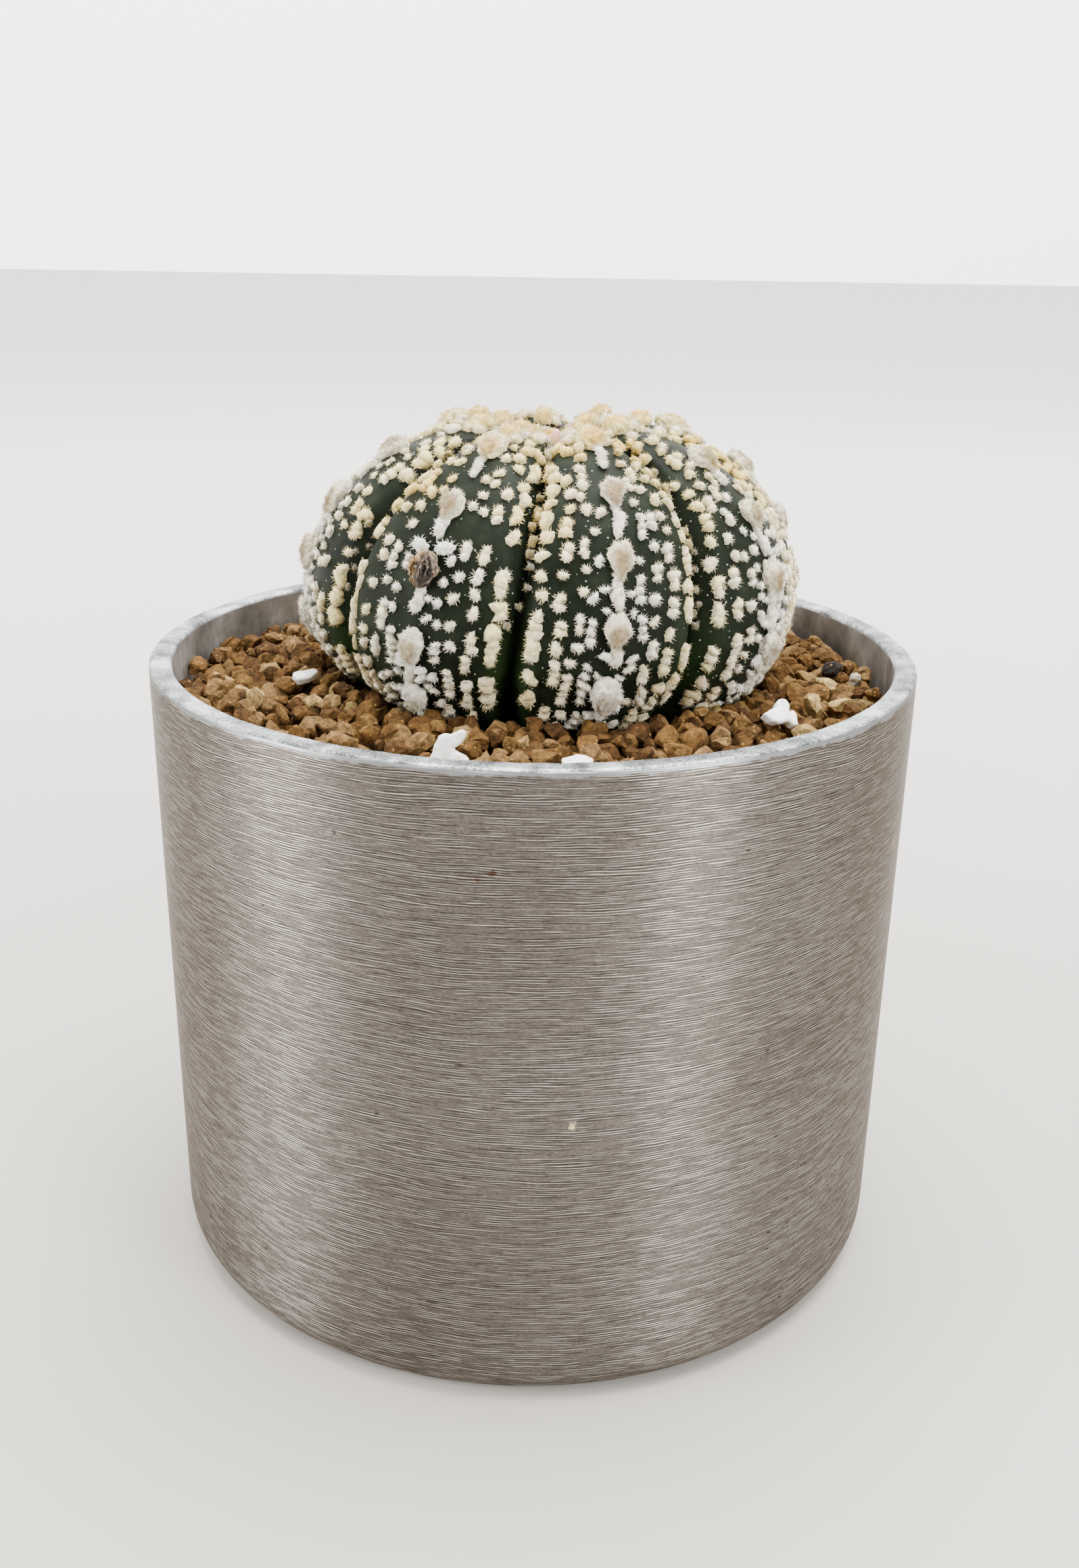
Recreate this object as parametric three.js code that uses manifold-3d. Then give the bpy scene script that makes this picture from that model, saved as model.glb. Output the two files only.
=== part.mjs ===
// A round eight-ribbed cactus, flecked with tufts of white wool, growing in a bed of baked clay
// grains in a thick-walled turned aluminium pot.
// Millimetres, +Z up, origin at the centre of the pot's flat base. Azimuths are degrees about +Z,
// counted from -Y, the front, towards +X.

import * as THREE from 'three';
import { mergeVertices } from 'three/addons/utils/BufferGeometryUtils.js';
import Module from 'manifold-3d';

const wasm = await Module();
wasm.setup();

// ---------------------------------------------------------------- driving dimensions

const GAP = 0.3; // between pieces that touch

// pot
const POT_HEIGHT = 90;
const RIM_RADIUS = 55;
const FOOT_RADIUS = 54.4; // the side wall drafts in a little towards the foot
const WALL = 3.2;
const FLOOR = 4;
const FOOT_ROUND = 5; // radius of the turned corner under the side wall
const RIM_ROUND = 0.7;
const INNER_FOOT_ROUND = 4;
const DRAIN_RADIUS = 5;
const POT_SIDES = 64;

// net over the drain hole
const SCREEN_RADIUS = 12;
const SCREEN_SIDES = 24;
const SCREEN_THICKNESS = 1.2;
const SCREEN_HOLE = 3;
const SCREEN_PITCH = 5;

// grit
const GRIT_AT_WALL = 84.0; // middle height of the top layer of grains
const GRIT_AT_PLANT = 85.6; // the bed is heaped a little against the plant
const GRAIN_RINGS = 4; // rings of grains between the plant and the wall
const GRAINS_A_RING = 36;
const GRAIN_REACH = 26.5; // the rings run in under the plant to this radius
const GRAIN_CROWN = 1.4; // a grain's top above its middle height, and its valleys below
const GRAIN_SCATTER = 0.9; // of its corners, inwards and outwards
const GRAIN_TILT = 1.1; // of its corners, up and down
const GRIT_SEED = 21;
const HOLE_SIDES = 32;
const HOLE_RISES = [-60, 20]; // angles of the plant's profile that its hole in the grit follows

// plant
const PLANT_X = 2.8;
const PLANT_Y = 4;
const WAIST_RADIUS = 35.4;
const WAIST_HEIGHT = 97;
const CROWN_RISE = 25.8; // waist to the top of the ribs
const BASE_DROP = 21.3; // waist to the underside of the body, down in the grit
const ROUNDNESS = 2.2; // 2 would make the upper half an ellipse
const CROWN_DIP = 6; // the growing point lies this far below the ribs
const CROWN_DIP_RADIUS = 8;
const RIB_CRESTS = [-31, 12, 55, 99, 143, 188, 233, 278]; // azimuths at the waist
const RIBS = RIB_CRESTS.length;
const RIB_TWIST = 5; // degrees that a rib turns from the waist to the crown
const RIB_SWELL = 1.5; // fall of a rib's broad flank from crest to groove
const GROOVE_DEPTH = 2.2;
const GROOVE_WIDTH = 0.13; // as a share of half a rib
const RIBS_FADE_FROM = 12; // the ribs flatten out nearer the axis than this
const RIBS_FADE_BELOW = [-60, -32]; // and between these angles on the buried base
const RIB_LINES = [-0.88, -0.52, -0.16, 0.16, 0.52, 0.88, 1]; // across a rib, 1 is its groove
const ROWS_BELOW = [-90, -58, -38]; // angles up from the waist, as all rises are
const LOWEST_ROW = -24;
const HIGHEST_ROW = 73;
const ROW_PITCH = 4.8; // millimetres of skin
const ROWS_ABOVE = [82, 86.5, 90];
const ROOT_PROFILE = [[0, 56], [1.8, 57], [5, 64], [9.5, 71.5], [13, 79], [0, 82]];
const ROOT_SIDES = 12;

// wool
const TUFT_RADIUS = 1.6; // at its foot, under the skin
const TUFT_VARIATION = 0.3; // of its radius
const TUFT_SIDES = 5;
const TUFT_HEIGHT = 1;
const TUFT_LENGTHENING = 1.15; // along the rib
const TUFT_SCATTER = [1, 1.4]; // across and along the rib
const WOOL_FOOT = 0.5; // depth of the wool's foot under the skin
// lanes of tufts on both sides of a crest: across the rib, and how near the plant's axis it runs
const TUFT_LANES = [[0.34, 14.2], [0.7, 21]];
const TUFT_SEED = 7;
const AREOLE_RADIUS = 1.95;
const AREOLE_STEPS = [20, 18.5, 20, 22, 8, 6, 5, 4]; // angles between one rib's areoles, upwards
const FIRST_AREOLES = [-20, -14, -6, -17, -10, -4, -18, -6.5]; // lowest areole of each rib
const HIGHEST_AREOLE = 85;
const AREOLE_DOME = 0.75; // height of its edge as a share of its radius
const CROWN_AREOLES = 68; // above this angle areoles crowd together, small and tall
const CROWN_AREOLE_RADIUS = 1.46;
const CROWN_AREOLE_DOME = 1.15;
const TAIL_LENGTH = 3.4; // strand of wool that runs down from an areole
const TAIL_RADIUS = 1.3;
const TAIL_OVERLAP = 0.4;

// the dried flower takes the place of one areole
const DRIED_RIB = 0;
const DRIED_AREOLE = 2;
const DRIED_SIZE = [1.95, 2.25, 1.9];
const DRIED_LIFT = 1.1; // its middle above the skin
const DRIED_FOLDS = 7;
const DRIED_FOLD_DEPTH = 0.09;
const DRIED_CLEARANCE = 4.1; // no tuft nearer than this to its middle
const CROWN_BUD_SIZE = [1.25, 1.25, 2.3];
const CROWN_BUD_HEIGHT = 118.3;
const CROWN_BUD_SCALES = 5;
const CROWN_BUD_SCALE_DEPTH = 0.12;

const CHIP_BEVEL = 0.4;
// white mineral chips in the grit: outline, thickness, middle, turn about Z, lean back from flat
const CHIPS = [
  {
    outline: [
      [-2.2, -2.6], [2.2, -2.7], [1.9, -0.7], [1.3, 0], [2.1, 1.4], [1.9, 2.6], [1.1, 2.7], [-0.6, 1],
      [-1.7, -0.1],
    ],
    thickness: 1.6, place: [-10.3, -40.4, 86.5], turn: 0, lean: 74,
  },
  {
    outline: [[-1.9, -1.2], [1.5, -1.4], [2.1, 0.6], [0.2, 1.5], [-1.8, 0.9]],
    thickness: 1.5, place: [5.6, -42.2, 86.0], turn: 12, lean: 20,
  },
  {
    outline: [
      [-2.4, -0.4], [0, -1.6], [1.3, -2.3], [2.3, -1.9], [1.9, -0.4], [2.4, 0.7], [1.9, 1.9], [-0.7, 1.2],
    ],
    thickness: 1.5, place: [32.6, -24.4, 87.1], turn: 34, lean: 48,
  },
  {
    outline: [[-2.2, -0.9], [0.2, -1.0], [2.2, -0.1], [1.7, 0.8], [-1.6, 0.6]],
    thickness: 1.2, place: [-32.4, -8.2, 87.0], turn: 42, lean: 22,
  },
];

const DEGREE = Math.PI / 180;

// ---------------------------------------------------------------- helpers

// repeatable draws between 0 and 1
function seeded(seed) {
  let state = seed;
  return () => {
    state = (state * 1664525 + 1013904223) % 4294967296;
    return state / 4294967296;
  };
}

function toSolid(geometry) {
  const bare = geometry.clone();
  bare.deleteAttribute('normal');
  bare.deleteAttribute('uv');
  const merged = mergeVertices(bare, 1e-4);
  const corners = merged.index.array;
  const kept = [];
  for (let i = 0; i < corners.length; i += 3) {
    const [a, b, c] = corners.subarray(i, i + 3);
    if (a !== b && b !== c && c !== a) kept.push(a, b, c);
  }
  return new wasm.Manifold(new wasm.Mesh({
    numProp: 3,
    vertProperties: merged.attributes.position.array,
    triVerts: new Uint32Array(kept),
  }));
}

function toMesh(name, solid, material) {
  const { vertProperties, triVerts } = solid.getMesh();
  const geometry = new THREE.BufferGeometry();
  geometry.setAttribute('position', new THREE.BufferAttribute(vertProperties, 3));
  geometry.setIndex(new THREE.BufferAttribute(triVerts, 1));
  geometry.computeVertexNormals();
  const mesh = new THREE.Mesh(geometry, material);
  mesh.name = name;
  return mesh;
}

// drops the scraps that a cut leaves loose
function largestBody(solid) {
  return solid.decompose().reduce((large, body) => (body.volume() > large.volume() ? body : large));
}

// a solid of revolution about +Z; its profile runs up the outside
function turned(profile, sides) {
  const points = profile.map(([radius, height]) => new THREE.Vector2(radius, height));
  return new THREE.LatheGeometry(points, sides).rotateX(90 * DEGREE);
}

// points of a quarter round in a profile, from one angle to another
function roundedCorner(centre, radius, from, to, steps) {
  const points = [];
  for (let i = 0; i <= steps; i++) {
    const angle = (from + (to - from) * i / steps) * DEGREE;
    points.push([centre[0] + radius * Math.cos(angle), centre[1] + radius * Math.sin(angle)]);
  }
  return points;
}

// ---------------------------------------------------------------- pot

const innerRim = RIM_RADIUS - WALL;
const innerFoot = FOOT_RADIUS - WALL;
const cavity = [
  ...roundedCorner([innerFoot - INNER_FOOT_ROUND, FLOOR + INNER_FOOT_ROUND], INNER_FOOT_ROUND, -90, 0, 2),
  [innerRim, POT_HEIGHT - RIM_ROUND],
];

function potSolid() {
  const outside = [
    [DRAIN_RADIUS, 0],
    ...roundedCorner([FOOT_RADIUS - FOOT_ROUND, FOOT_ROUND], FOOT_ROUND, -90, 0, 4),
    ...roundedCorner([RIM_RADIUS - RIM_ROUND, POT_HEIGHT - RIM_ROUND], RIM_ROUND, 0, 90, 2),
    [innerRim + RIM_ROUND, POT_HEIGHT],
  ];
  const inside = [...cavity].reverse();
  return toSolid(turned([...outside, ...inside, [DRAIN_RADIUS, FLOOR], [DRAIN_RADIUS, 0]], POT_SIDES));
}

// a disc of net with square holes, lying over the drain hole
function screenSolid() {
  const middle = FLOOR + GAP + SCREEN_THICKNESS / 2;
  const disc = new THREE.CylinderGeometry(SCREEN_RADIUS, SCREEN_RADIUS, SCREEN_THICKNESS, SCREEN_SIDES);
  const holes = [];
  for (const column of [-1, 0, 1]) {
    for (const row of [-1, 0, 1]) {
      const hole = new THREE.BoxGeometry(SCREEN_HOLE, SCREEN_HOLE, 2 * SCREEN_THICKNESS);
      holes.push(toSolid(hole.translate(column * SCREEN_PITCH, row * SCREEN_PITCH, middle)));
    }
  }
  const blank = toSolid(disc.rotateX(90 * DEGREE).translate(0, 0, middle));
  return blank.subtract(wasm.Manifold.union(holes));
}

// ---------------------------------------------------------------- plant

// profile of the body as [radius, height], by the angle up from the waist in degrees
function bodyProfile(rise) {
  const up = Math.sin(rise * DEGREE);
  const out = Math.max(0, Math.cos(rise * DEGREE));
  if (rise < 0) return [WAIST_RADIUS * out, WAIST_HEIGHT + BASE_DROP * up];
  const radius = WAIST_RADIUS * out ** (2 / ROUNDNESS);
  const dip = CROWN_DIP * Math.exp(-((radius / CROWN_DIP_RADIUS) ** 2));
  return [radius, WAIST_HEIGHT + CROWN_RISE * up ** (2 / ROUNDNESS) - dip];
}

// millimetres along the profile for one degree of rise
function profileSpeed(rise) {
  const [lowRadius, lowHeight] = bodyProfile(rise - 0.5);
  const [highRadius, highHeight] = bodyProfile(rise + 0.5);
  return Math.hypot(highRadius - lowRadius, highHeight - lowHeight);
}

// outward direction of the profile as [radial, vertical]
function profileNormal(rise) {
  if (Math.abs(rise) > 89) return [0, Math.sign(rise)];
  const [lowRadius, lowHeight] = bodyProfile(rise - 0.5);
  const [highRadius, highHeight] = bodyProfile(rise + 0.5);
  const length = Math.hypot(highRadius - lowRadius, highHeight - lowHeight);
  return [(highHeight - lowHeight) / length, (lowRadius - highRadius) / length];
}

// how far the skin lies in from the ribs' crests; across is 0 on a crest and 1 or -1 in a groove
function ribFall(across, rise) {
  const toGroove = 1 - Math.abs(across);
  const fall = RIB_SWELL * Math.abs(across) ** 2.4;
  const cut = GROOVE_DEPTH * Math.exp(-((toGroove / GROOVE_WIDTH) ** 2));
  const fadeBelow = THREE.MathUtils.smoothstep(rise, ...RIBS_FADE_BELOW);
  const fadeAtCrown = Math.min(1, bodyProfile(rise)[0] / RIBS_FADE_FROM);
  return (fall + cut) * fadeBelow * fadeAtCrown;
}

// azimuth of a place on a rib at the waist; a groove lies halfway between its two crests
function waistAzimuth(rib, across) {
  const beside = (rib + Math.sign(across) + RIBS) % RIBS;
  const step = (RIB_CRESTS[beside] - RIB_CRESTS[rib] + 540) % 360 - 180;
  return RIB_CRESTS[rib] + Math.abs(across) / 2 * step;
}

// a point of the skin, in the plant's own frame, lifted by lift along the normal
function skinPoint(rib, across, rise, lift = 0) {
  const [radius, height] = bodyProfile(rise);
  const [radial, vertical] = profileNormal(rise);
  const offset = lift - ribFall(across, rise);
  const azimuth = waistAzimuth(rib, across) + RIB_TWIST * Math.sin(rise * DEGREE);
  const reach = Math.max(0, radius + radial * offset);
  return new THREE.Vector3(
    reach * Math.sin(azimuth * DEGREE),
    -reach * Math.cos(azimuth * DEGREE),
    height + vertical * offset,
  );
}

// rises of the rows of faces that carry tufts
function tuftRows() {
  const rises = [LOWEST_ROW];
  while (rises.at(-1) < HIGHEST_ROW) rises.push(rises.at(-1) + ROW_PITCH / profileSpeed(rises.at(-1)));
  return rises;
}

const bodyRows = [...ROWS_BELOW, ...tuftRows(), ...ROWS_ABOVE];

// closed ribbed body
function bodySolid(lift = 0) {
  const rows = bodyRows.length;
  const columns = RIBS * RIB_LINES.length;
  const geometry = turned(bodyRows.map(bodyProfile), columns);
  const { position } = geometry.attributes;
  for (let i = 0; i < position.count; i++) {
    const rise = bodyRows[i % rows];
    const column = Math.floor(i / rows) % columns;
    const rib = Math.floor(column / RIB_LINES.length);
    const pole = Math.abs(rise) === 90;
    const point = pole
      ? new THREE.Vector3(0, 0, bodyProfile(rise)[1] + Math.sign(rise) * lift)
      : skinPoint(rib, RIB_LINES[column % RIB_LINES.length], rise, lift);
    position.setXYZ(i, point.x, point.y, point.z);
  }
  return toSolid(geometry);
}

// stands a shape made about +Z up on the skin, its +Y along the rib
function onSkin(geometry, rib, across, rise, lift = 0, spin = 0) {
  const foot = skinPoint(rib, across, rise, lift);
  const ahead = skinPoint(rib, across, rise + 1).sub(skinPoint(rib, across, rise - 1)).normalize();
  const side = skinPoint(rib, across + 0.02, rise).sub(skinPoint(rib, across - 0.02, rise));
  const out = side.cross(ahead).normalize();
  const right = ahead.clone().cross(out);
  const frame = new THREE.Matrix4().makeBasis(right, ahead, out).setPosition(foot);
  return geometry.rotateZ(spin).applyMatrix4(frame);
}

// a low tuft, with its foot sunk in the skin
function tuft(radius, length, height) {
  const cone = new THREE.ConeGeometry(1, height + WOOL_FOOT, TUFT_SIDES);
  const middle = (height - WOOL_FOOT) / 2;
  return cone.rotateX(90 * DEGREE).translate(0, 0, middle).scale(radius, length, 1);
}

// a domed cushion of six sides
function cushion(radius, height) {
  const dome = new THREE.CylinderGeometry(radius * 0.66, radius, height + WOOL_FOOT, 6);
  const { position } = dome.attributes;
  for (let i = 0; i < position.count; i++) {
    const onAxis = Math.hypot(position.getX(i), position.getZ(i)) < 0.01;
    if (onAxis && position.getY(i) > 0) position.setY(i, position.getY(i) + radius * 0.2);
  }
  return dome.rotateX(90 * DEGREE).translate(0, 0, (height - WOOL_FOOT) / 2);
}

function areoleRises(rib) {
  const rises = [FIRST_AREOLES[rib]];
  for (const step of AREOLE_STEPS) rises.push(rises.at(-1) + step);
  return rises.filter((rise) => rise < HIGHEST_AREOLE);
}

// round cushion of wool, with the strand that runs down the rib from it
function areole(rib, rise) {
  if (rise > CROWN_AREOLES) {
    const small = cushion(CROWN_AREOLE_RADIUS, CROWN_AREOLE_RADIUS * CROWN_AREOLE_DOME);
    return [onSkin(small, rib, 0, rise)];
  }
  const below = rise - (AREOLE_RADIUS + TAIL_LENGTH / 2 - TAIL_OVERLAP) / profileSpeed(rise);
  const tail = tuft(TAIL_RADIUS, TAIL_LENGTH / 2 + WOOL_FOOT, TUFT_HEIGHT);
  const large = cushion(AREOLE_RADIUS, AREOLE_RADIUS * AREOLE_DOME);
  return [onSkin(large, rib, 0, rise), onSkin(tail, rib, 0, below)];
}

// one tuft in each face of the body's net, so far as the rib is wide enough
function tuftsOfRib(rib, random, driedFlower) {
  const tufts = [];
  const rows = tuftRows();
  for (const [lane, nearest] of TUFT_LANES.flatMap(([across, end]) => [[-across, end], [across, end]])) {
    for (let row = 1; row < rows.length; row++) {
      const draw = [random() - 0.5, random() - 0.5, random() - 0.5, random()];
      const middle = (rows[row - 1] + rows[row]) / 2;
      const rise = middle + draw[0] * TUFT_SCATTER[1] / profileSpeed(middle);
      const radius = bodyProfile(rise)[0];
      const halfRib = radius * Math.PI / RIBS;
      const across = lane + draw[1] * TUFT_SCATTER[0] / halfRib;
      const size = TUFT_RADIUS * (1 + TUFT_VARIATION * draw[2]);
      const clear = skinPoint(rib, across, rise).distanceTo(driedFlower) > DRIED_CLEARANCE;
      if (radius < nearest || !clear) continue;
      const shape = tuft(size, size * TUFT_LENGTHENING, TUFT_HEIGHT);
      tufts.push(onSkin(shape, rib, across, rise, 0, draw[3]));
    }
  }
  return tufts;
}

const driedRise = areoleRises(DRIED_RIB)[DRIED_AREOLE];

function plantSolid() {
  const random = seeded(TUFT_SEED);
  const driedFlower = skinPoint(DRIED_RIB, 0, driedRise);
  const pieces = [bodySolid(), toSolid(turned(ROOT_PROFILE, ROOT_SIDES))];
  for (let rib = 0; rib < RIBS; rib++) {
    for (const rise of areoleRises(rib)) {
      if (rib === DRIED_RIB && rise === driedRise) continue;
      pieces.push(...areole(rib, rise).map(toSolid));
    }
    pieces.push(...tuftsOfRib(rib, random, driedFlower).map(toSolid));
  }
  return largestBody(wasm.Manifold.union(pieces)).translate([PLANT_X, PLANT_Y, 0]);
}

// shrivelled remnant of a flower: a lump with deep folds along it, seated on the skin
function driedBudSolid() {
  const lumpy = new THREE.IcosahedronGeometry(1, 1);
  const { position } = lumpy.attributes;
  const point = new THREE.Vector3();
  for (let i = 0; i < position.count; i++) {
    point.fromBufferAttribute(position, i);
    const turn = Math.atan2(point.x, point.z);
    const fold = 1 + DRIED_FOLD_DEPTH * Math.cos(DRIED_FOLDS * turn) * (1 - point.y ** 2);
    position.setXYZ(i, point.x * fold, point.y, point.z * fold);
  }
  lumpy.scale(...DRIED_SIZE);
  const bud = toSolid(onSkin(lumpy, DRIED_RIB, 0, driedRise, DRIED_LIFT));
  return bud.subtract(bodySolid(GAP)).translate([PLANT_X, PLANT_Y, 0]);
}

// small bud wrapped in scales, seated in the dip of the crown
function crownBudSolid() {
  const rings = 5;
  const profile = [];
  for (let i = 0; i <= rings; i++) {
    const angle = (i / rings - 0.5) * Math.PI;
    profile.push([Math.cos(angle), Math.sin(angle)]);
  }
  const bud = turned(profile, 2 * CROWN_BUD_SCALES);
  const { position } = bud.attributes;
  for (let i = 0; i < position.count; i++) {
    const x = position.getX(i);
    const y = position.getY(i);
    const swell = 1 + CROWN_BUD_SCALE_DEPTH * Math.cos(CROWN_BUD_SCALES * Math.atan2(x, y));
    position.setXY(i, x * swell, y * swell);
  }
  bud.scale(...CROWN_BUD_SIZE).translate(0, 0, CROWN_BUD_HEIGHT);
  return toSolid(bud).subtract(bodySolid(GAP)).translate([PLANT_X, PLANT_Y, 0]);
}

// ---------------------------------------------------------------- grit

function chipSolid(chip, grow = 0) {
  const corners = chip.outline.map(([x, y]) => new THREE.Vector2(x, y));
  const ring = new THREE.SplineCurve([...corners, corners[0]]).getPoints(corners.length * 2).slice(0, -1);
  const geometry = new THREE.ExtrudeGeometry(new THREE.Shape(ring), {
    depth: chip.thickness - 2 * CHIP_BEVEL,
    bevelSegments: 1,
    bevelSize: CHIP_BEVEL,
    bevelThickness: CHIP_BEVEL + grow,
    bevelOffset: grow - CHIP_BEVEL,
  });
  geometry.translate(0, 0, CHIP_BEVEL - chip.thickness / 2);
  geometry.rotateX(chip.lean * DEGREE).rotateZ(chip.turn * DEGREE).translate(...chip.place);
  return toSolid(geometry);
}

// plain hole that the plant's base stands in: its profile without ribs, grown by the gap
function plantHoleSolid() {
  const root = ROOT_PROFILE.slice(0, 4).map(([radius, height]) => [radius && radius + GAP, height - GAP]);
  const [from, to] = HOLE_RISES;
  const body = bodyRows.filter((rise) => rise > from && rise < to).map((rise) => {
    const [radius, height] = bodyProfile(rise);
    const [radial, vertical] = profileNormal(rise);
    return [radius + radial * GAP, height + vertical * GAP];
  });
  const top = [0, body.at(-1)[1]];
  return toSolid(turned([...root, ...body, top], HOLE_SIDES)).translate([PLANT_X, PLANT_Y, 0]);
}

// the bed in one piece: three rows and three columns of faces make each grain of its top layer,
// a blunt top between low edges, and every ring is turned half a grain from the last
function bedSolid() {
  const outerRadius = innerRim - GAP;
  const under = [[0, FLOOR + GAP]];
  for (const [radius, height] of cavity.slice(0, -1)) under.push([radius - GAP, height + GAP]);
  const rows = 3 * GRAIN_RINGS + 1;
  const columns = 3 * GRAINS_A_RING;
  const top = [];
  for (let row = 0; row < rows; row++) {
    const share = row / (rows - 1);
    const radius = outerRadius + (GRAIN_REACH - outerRadius) * share;
    top.push([radius, GRIT_AT_WALL + (GRIT_AT_PLANT - GRIT_AT_WALL) * share]);
  }
  const profile = [...under, ...top, [0, GRIT_AT_PLANT]];
  const geometry = turned(profile, columns);
  const { position } = geometry.attributes;
  const random = seeded(GRIT_SEED);
  for (let i = 0; i < columns * profile.length; i++) {
    const column = Math.floor(i / profile.length);
    const row = i % profile.length - under.length;
    const draw = [random() - 0.5, random() - 0.5, random() - 0.5];
    if (row < 1 || row >= rows) continue;
    const ring = Math.floor((row - 0.5) / 3);
    const onTop = row % 3 !== 0 && column % 3 !== 0;
    const halfGrain = 1.5 * (ring % 2) + (row % 3 === 0 ? 0.75 : 0);
    const radius = top[row][0] + draw[0] * GRAIN_SCATTER;
    const azimuth = (column + halfGrain + draw[1] * 0.5) / columns * 2 * Math.PI;
    const height = top[row][1] + (onTop ? GRAIN_CROWN : -GRAIN_CROWN) + draw[2] * GRAIN_TILT;
    const place = [radius * Math.sin(azimuth), -radius * Math.cos(azimuth), height];
    position.setXYZ(i, ...place);
    if (column === 0) position.setXYZ(i + columns * profile.length, ...place);
  }
  return toSolid(geometry);
}

function soilSolid() {
  const recess = new THREE.CylinderGeometry(
    SCREEN_RADIUS + GAP,
    SCREEN_RADIUS + GAP,
    2 * (SCREEN_THICKNESS + GAP),
    SCREEN_SIDES,
  );
  recess.rotateX(90 * DEGREE).translate(0, 0, FLOOR + GAP);
  const heap = bedSolid().subtract(plantHoleSolid()).subtract(toSolid(recess));
  return largestBody(CHIPS.reduce((solid, chip) => solid.subtract(chipSolid(chip, GAP)), heap));
}

// ---------------------------------------------------------------- the object

function finish(color, roughness, metalness = 0) {
  return new THREE.MeshStandardMaterial({ color, roughness, metalness });
}

const cactus = new THREE.Group();
cactus.add(toMesh('pot', potSolid(), finish(0x9c9a98, 0.42, 0.9)));
cactus.add(toMesh('drain_screen', screenSolid(), finish(0x2b2c2b, 0.7)));
cactus.add(toMesh('soil', soilSolid(), finish(0x8a6238, 0.95)));
cactus.add(toMesh('cactus', plantSolid(), finish(0x46584a, 0.7)));
cactus.add(toMesh('dried_bud', driedBudSolid(), finish(0x8b6a48, 0.9)));
cactus.add(toMesh('crown_bud', crownBudSolid(), finish(0xc99a85, 0.8)));
CHIPS.forEach((chip, i) => {
  cactus.add(toMesh(`white_chip_${i + 1}`, chipSolid(chip), finish(0xf1efe8, 0.85)));
});

export default cactus;
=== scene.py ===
"""A round, eight-ribbed cactus flecked with white wool, in baked clay grit in a turned aluminium pot."""

import math
import random
from functools import partial
from itertools import product

import bmesh
import bpy
from mathutils import Matrix, Vector, noise


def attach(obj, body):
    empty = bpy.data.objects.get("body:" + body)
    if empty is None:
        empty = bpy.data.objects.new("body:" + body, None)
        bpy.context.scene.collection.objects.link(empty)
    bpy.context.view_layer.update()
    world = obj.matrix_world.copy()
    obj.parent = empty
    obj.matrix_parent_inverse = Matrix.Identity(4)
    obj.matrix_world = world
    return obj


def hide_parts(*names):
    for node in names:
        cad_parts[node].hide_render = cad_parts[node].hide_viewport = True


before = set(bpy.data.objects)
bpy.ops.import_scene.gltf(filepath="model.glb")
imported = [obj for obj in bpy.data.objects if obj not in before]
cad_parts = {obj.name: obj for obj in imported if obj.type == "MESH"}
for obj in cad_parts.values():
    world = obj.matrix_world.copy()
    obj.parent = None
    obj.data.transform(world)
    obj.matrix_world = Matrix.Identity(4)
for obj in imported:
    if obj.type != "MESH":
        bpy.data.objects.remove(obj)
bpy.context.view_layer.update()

MM = 0.001

# ---------------------------------------------------------------- driving dimensions
# The same names and rules as in the part's source: lengths in metres, angles in degrees.

GAP = 0.3 * MM

POT_HEIGHT = 90 * MM
RIM_RADIUS = 55 * MM
FOOT_RADIUS = 54.4 * MM
WALL = 3.2 * MM
FLOOR = 4 * MM
FOOT_ROUND = 5 * MM
RIM_ROUND = 0.7 * MM
INNER_FOOT_ROUND = 4 * MM
DRAIN_RADIUS = 5 * MM
POT_STEPS = 240

SCREEN_RADIUS = 12 * MM
SCREEN_THICKNESS = 1.2 * MM

GRIT_AT_WALL = 84.0 * MM
GRIT_AT_PLANT = 85.6 * MM

PLANT = Vector((2.8, 4, 0)) * MM
WAIST_RADIUS = 35.4 * MM
WAIST_HEIGHT = 97 * MM
CROWN_RISE = 25.8 * MM
BASE_DROP = 21.3 * MM
ROUNDNESS = 2.2  # of the crown: 2 is round, and more is squarer
CROWN_DIP = 6 * MM
CROWN_DIP_RADIUS = 8 * MM
RIB_CRESTS = (-31, 12, 55, 99, 143, 188, 233, 278)
RIBS = len(RIB_CRESTS)
RIB_TWIST = 5
RIB_SWELL = 1.5 * MM
GROOVE_DEPTH = 2.2 * MM
GROOVE_WIDTH = 0.13  # as a share of half a rib
CREASE_DEPTH = 0.9 * MM  # the fine dark crease at the bottom of a groove
CREASE_WIDTH = 0.025
RIBS_FADE_FROM = 12 * MM
RIBS_FADE_BELOW = (-60, -32)
ROOT_PROFILE = [(0.0, 56), (1.8, 57), (5, 64), (9.5, 71.5), (13, 79), (0.0, 82)]

AREOLE_STEPS = (20, 18.5, 20, 22, 8, 6, 5, 4)
FIRST_AREOLES = (-20, -14, -6, -17, -10, -4, -18, -6.5)
HIGHEST_AREOLE = 85
CROWN_AREOLES = 68
DRIED_RIB = 0
DRIED_AREOLE = 2
CROWN_BUD_HEIGHT = 118.3 * MM

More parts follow.
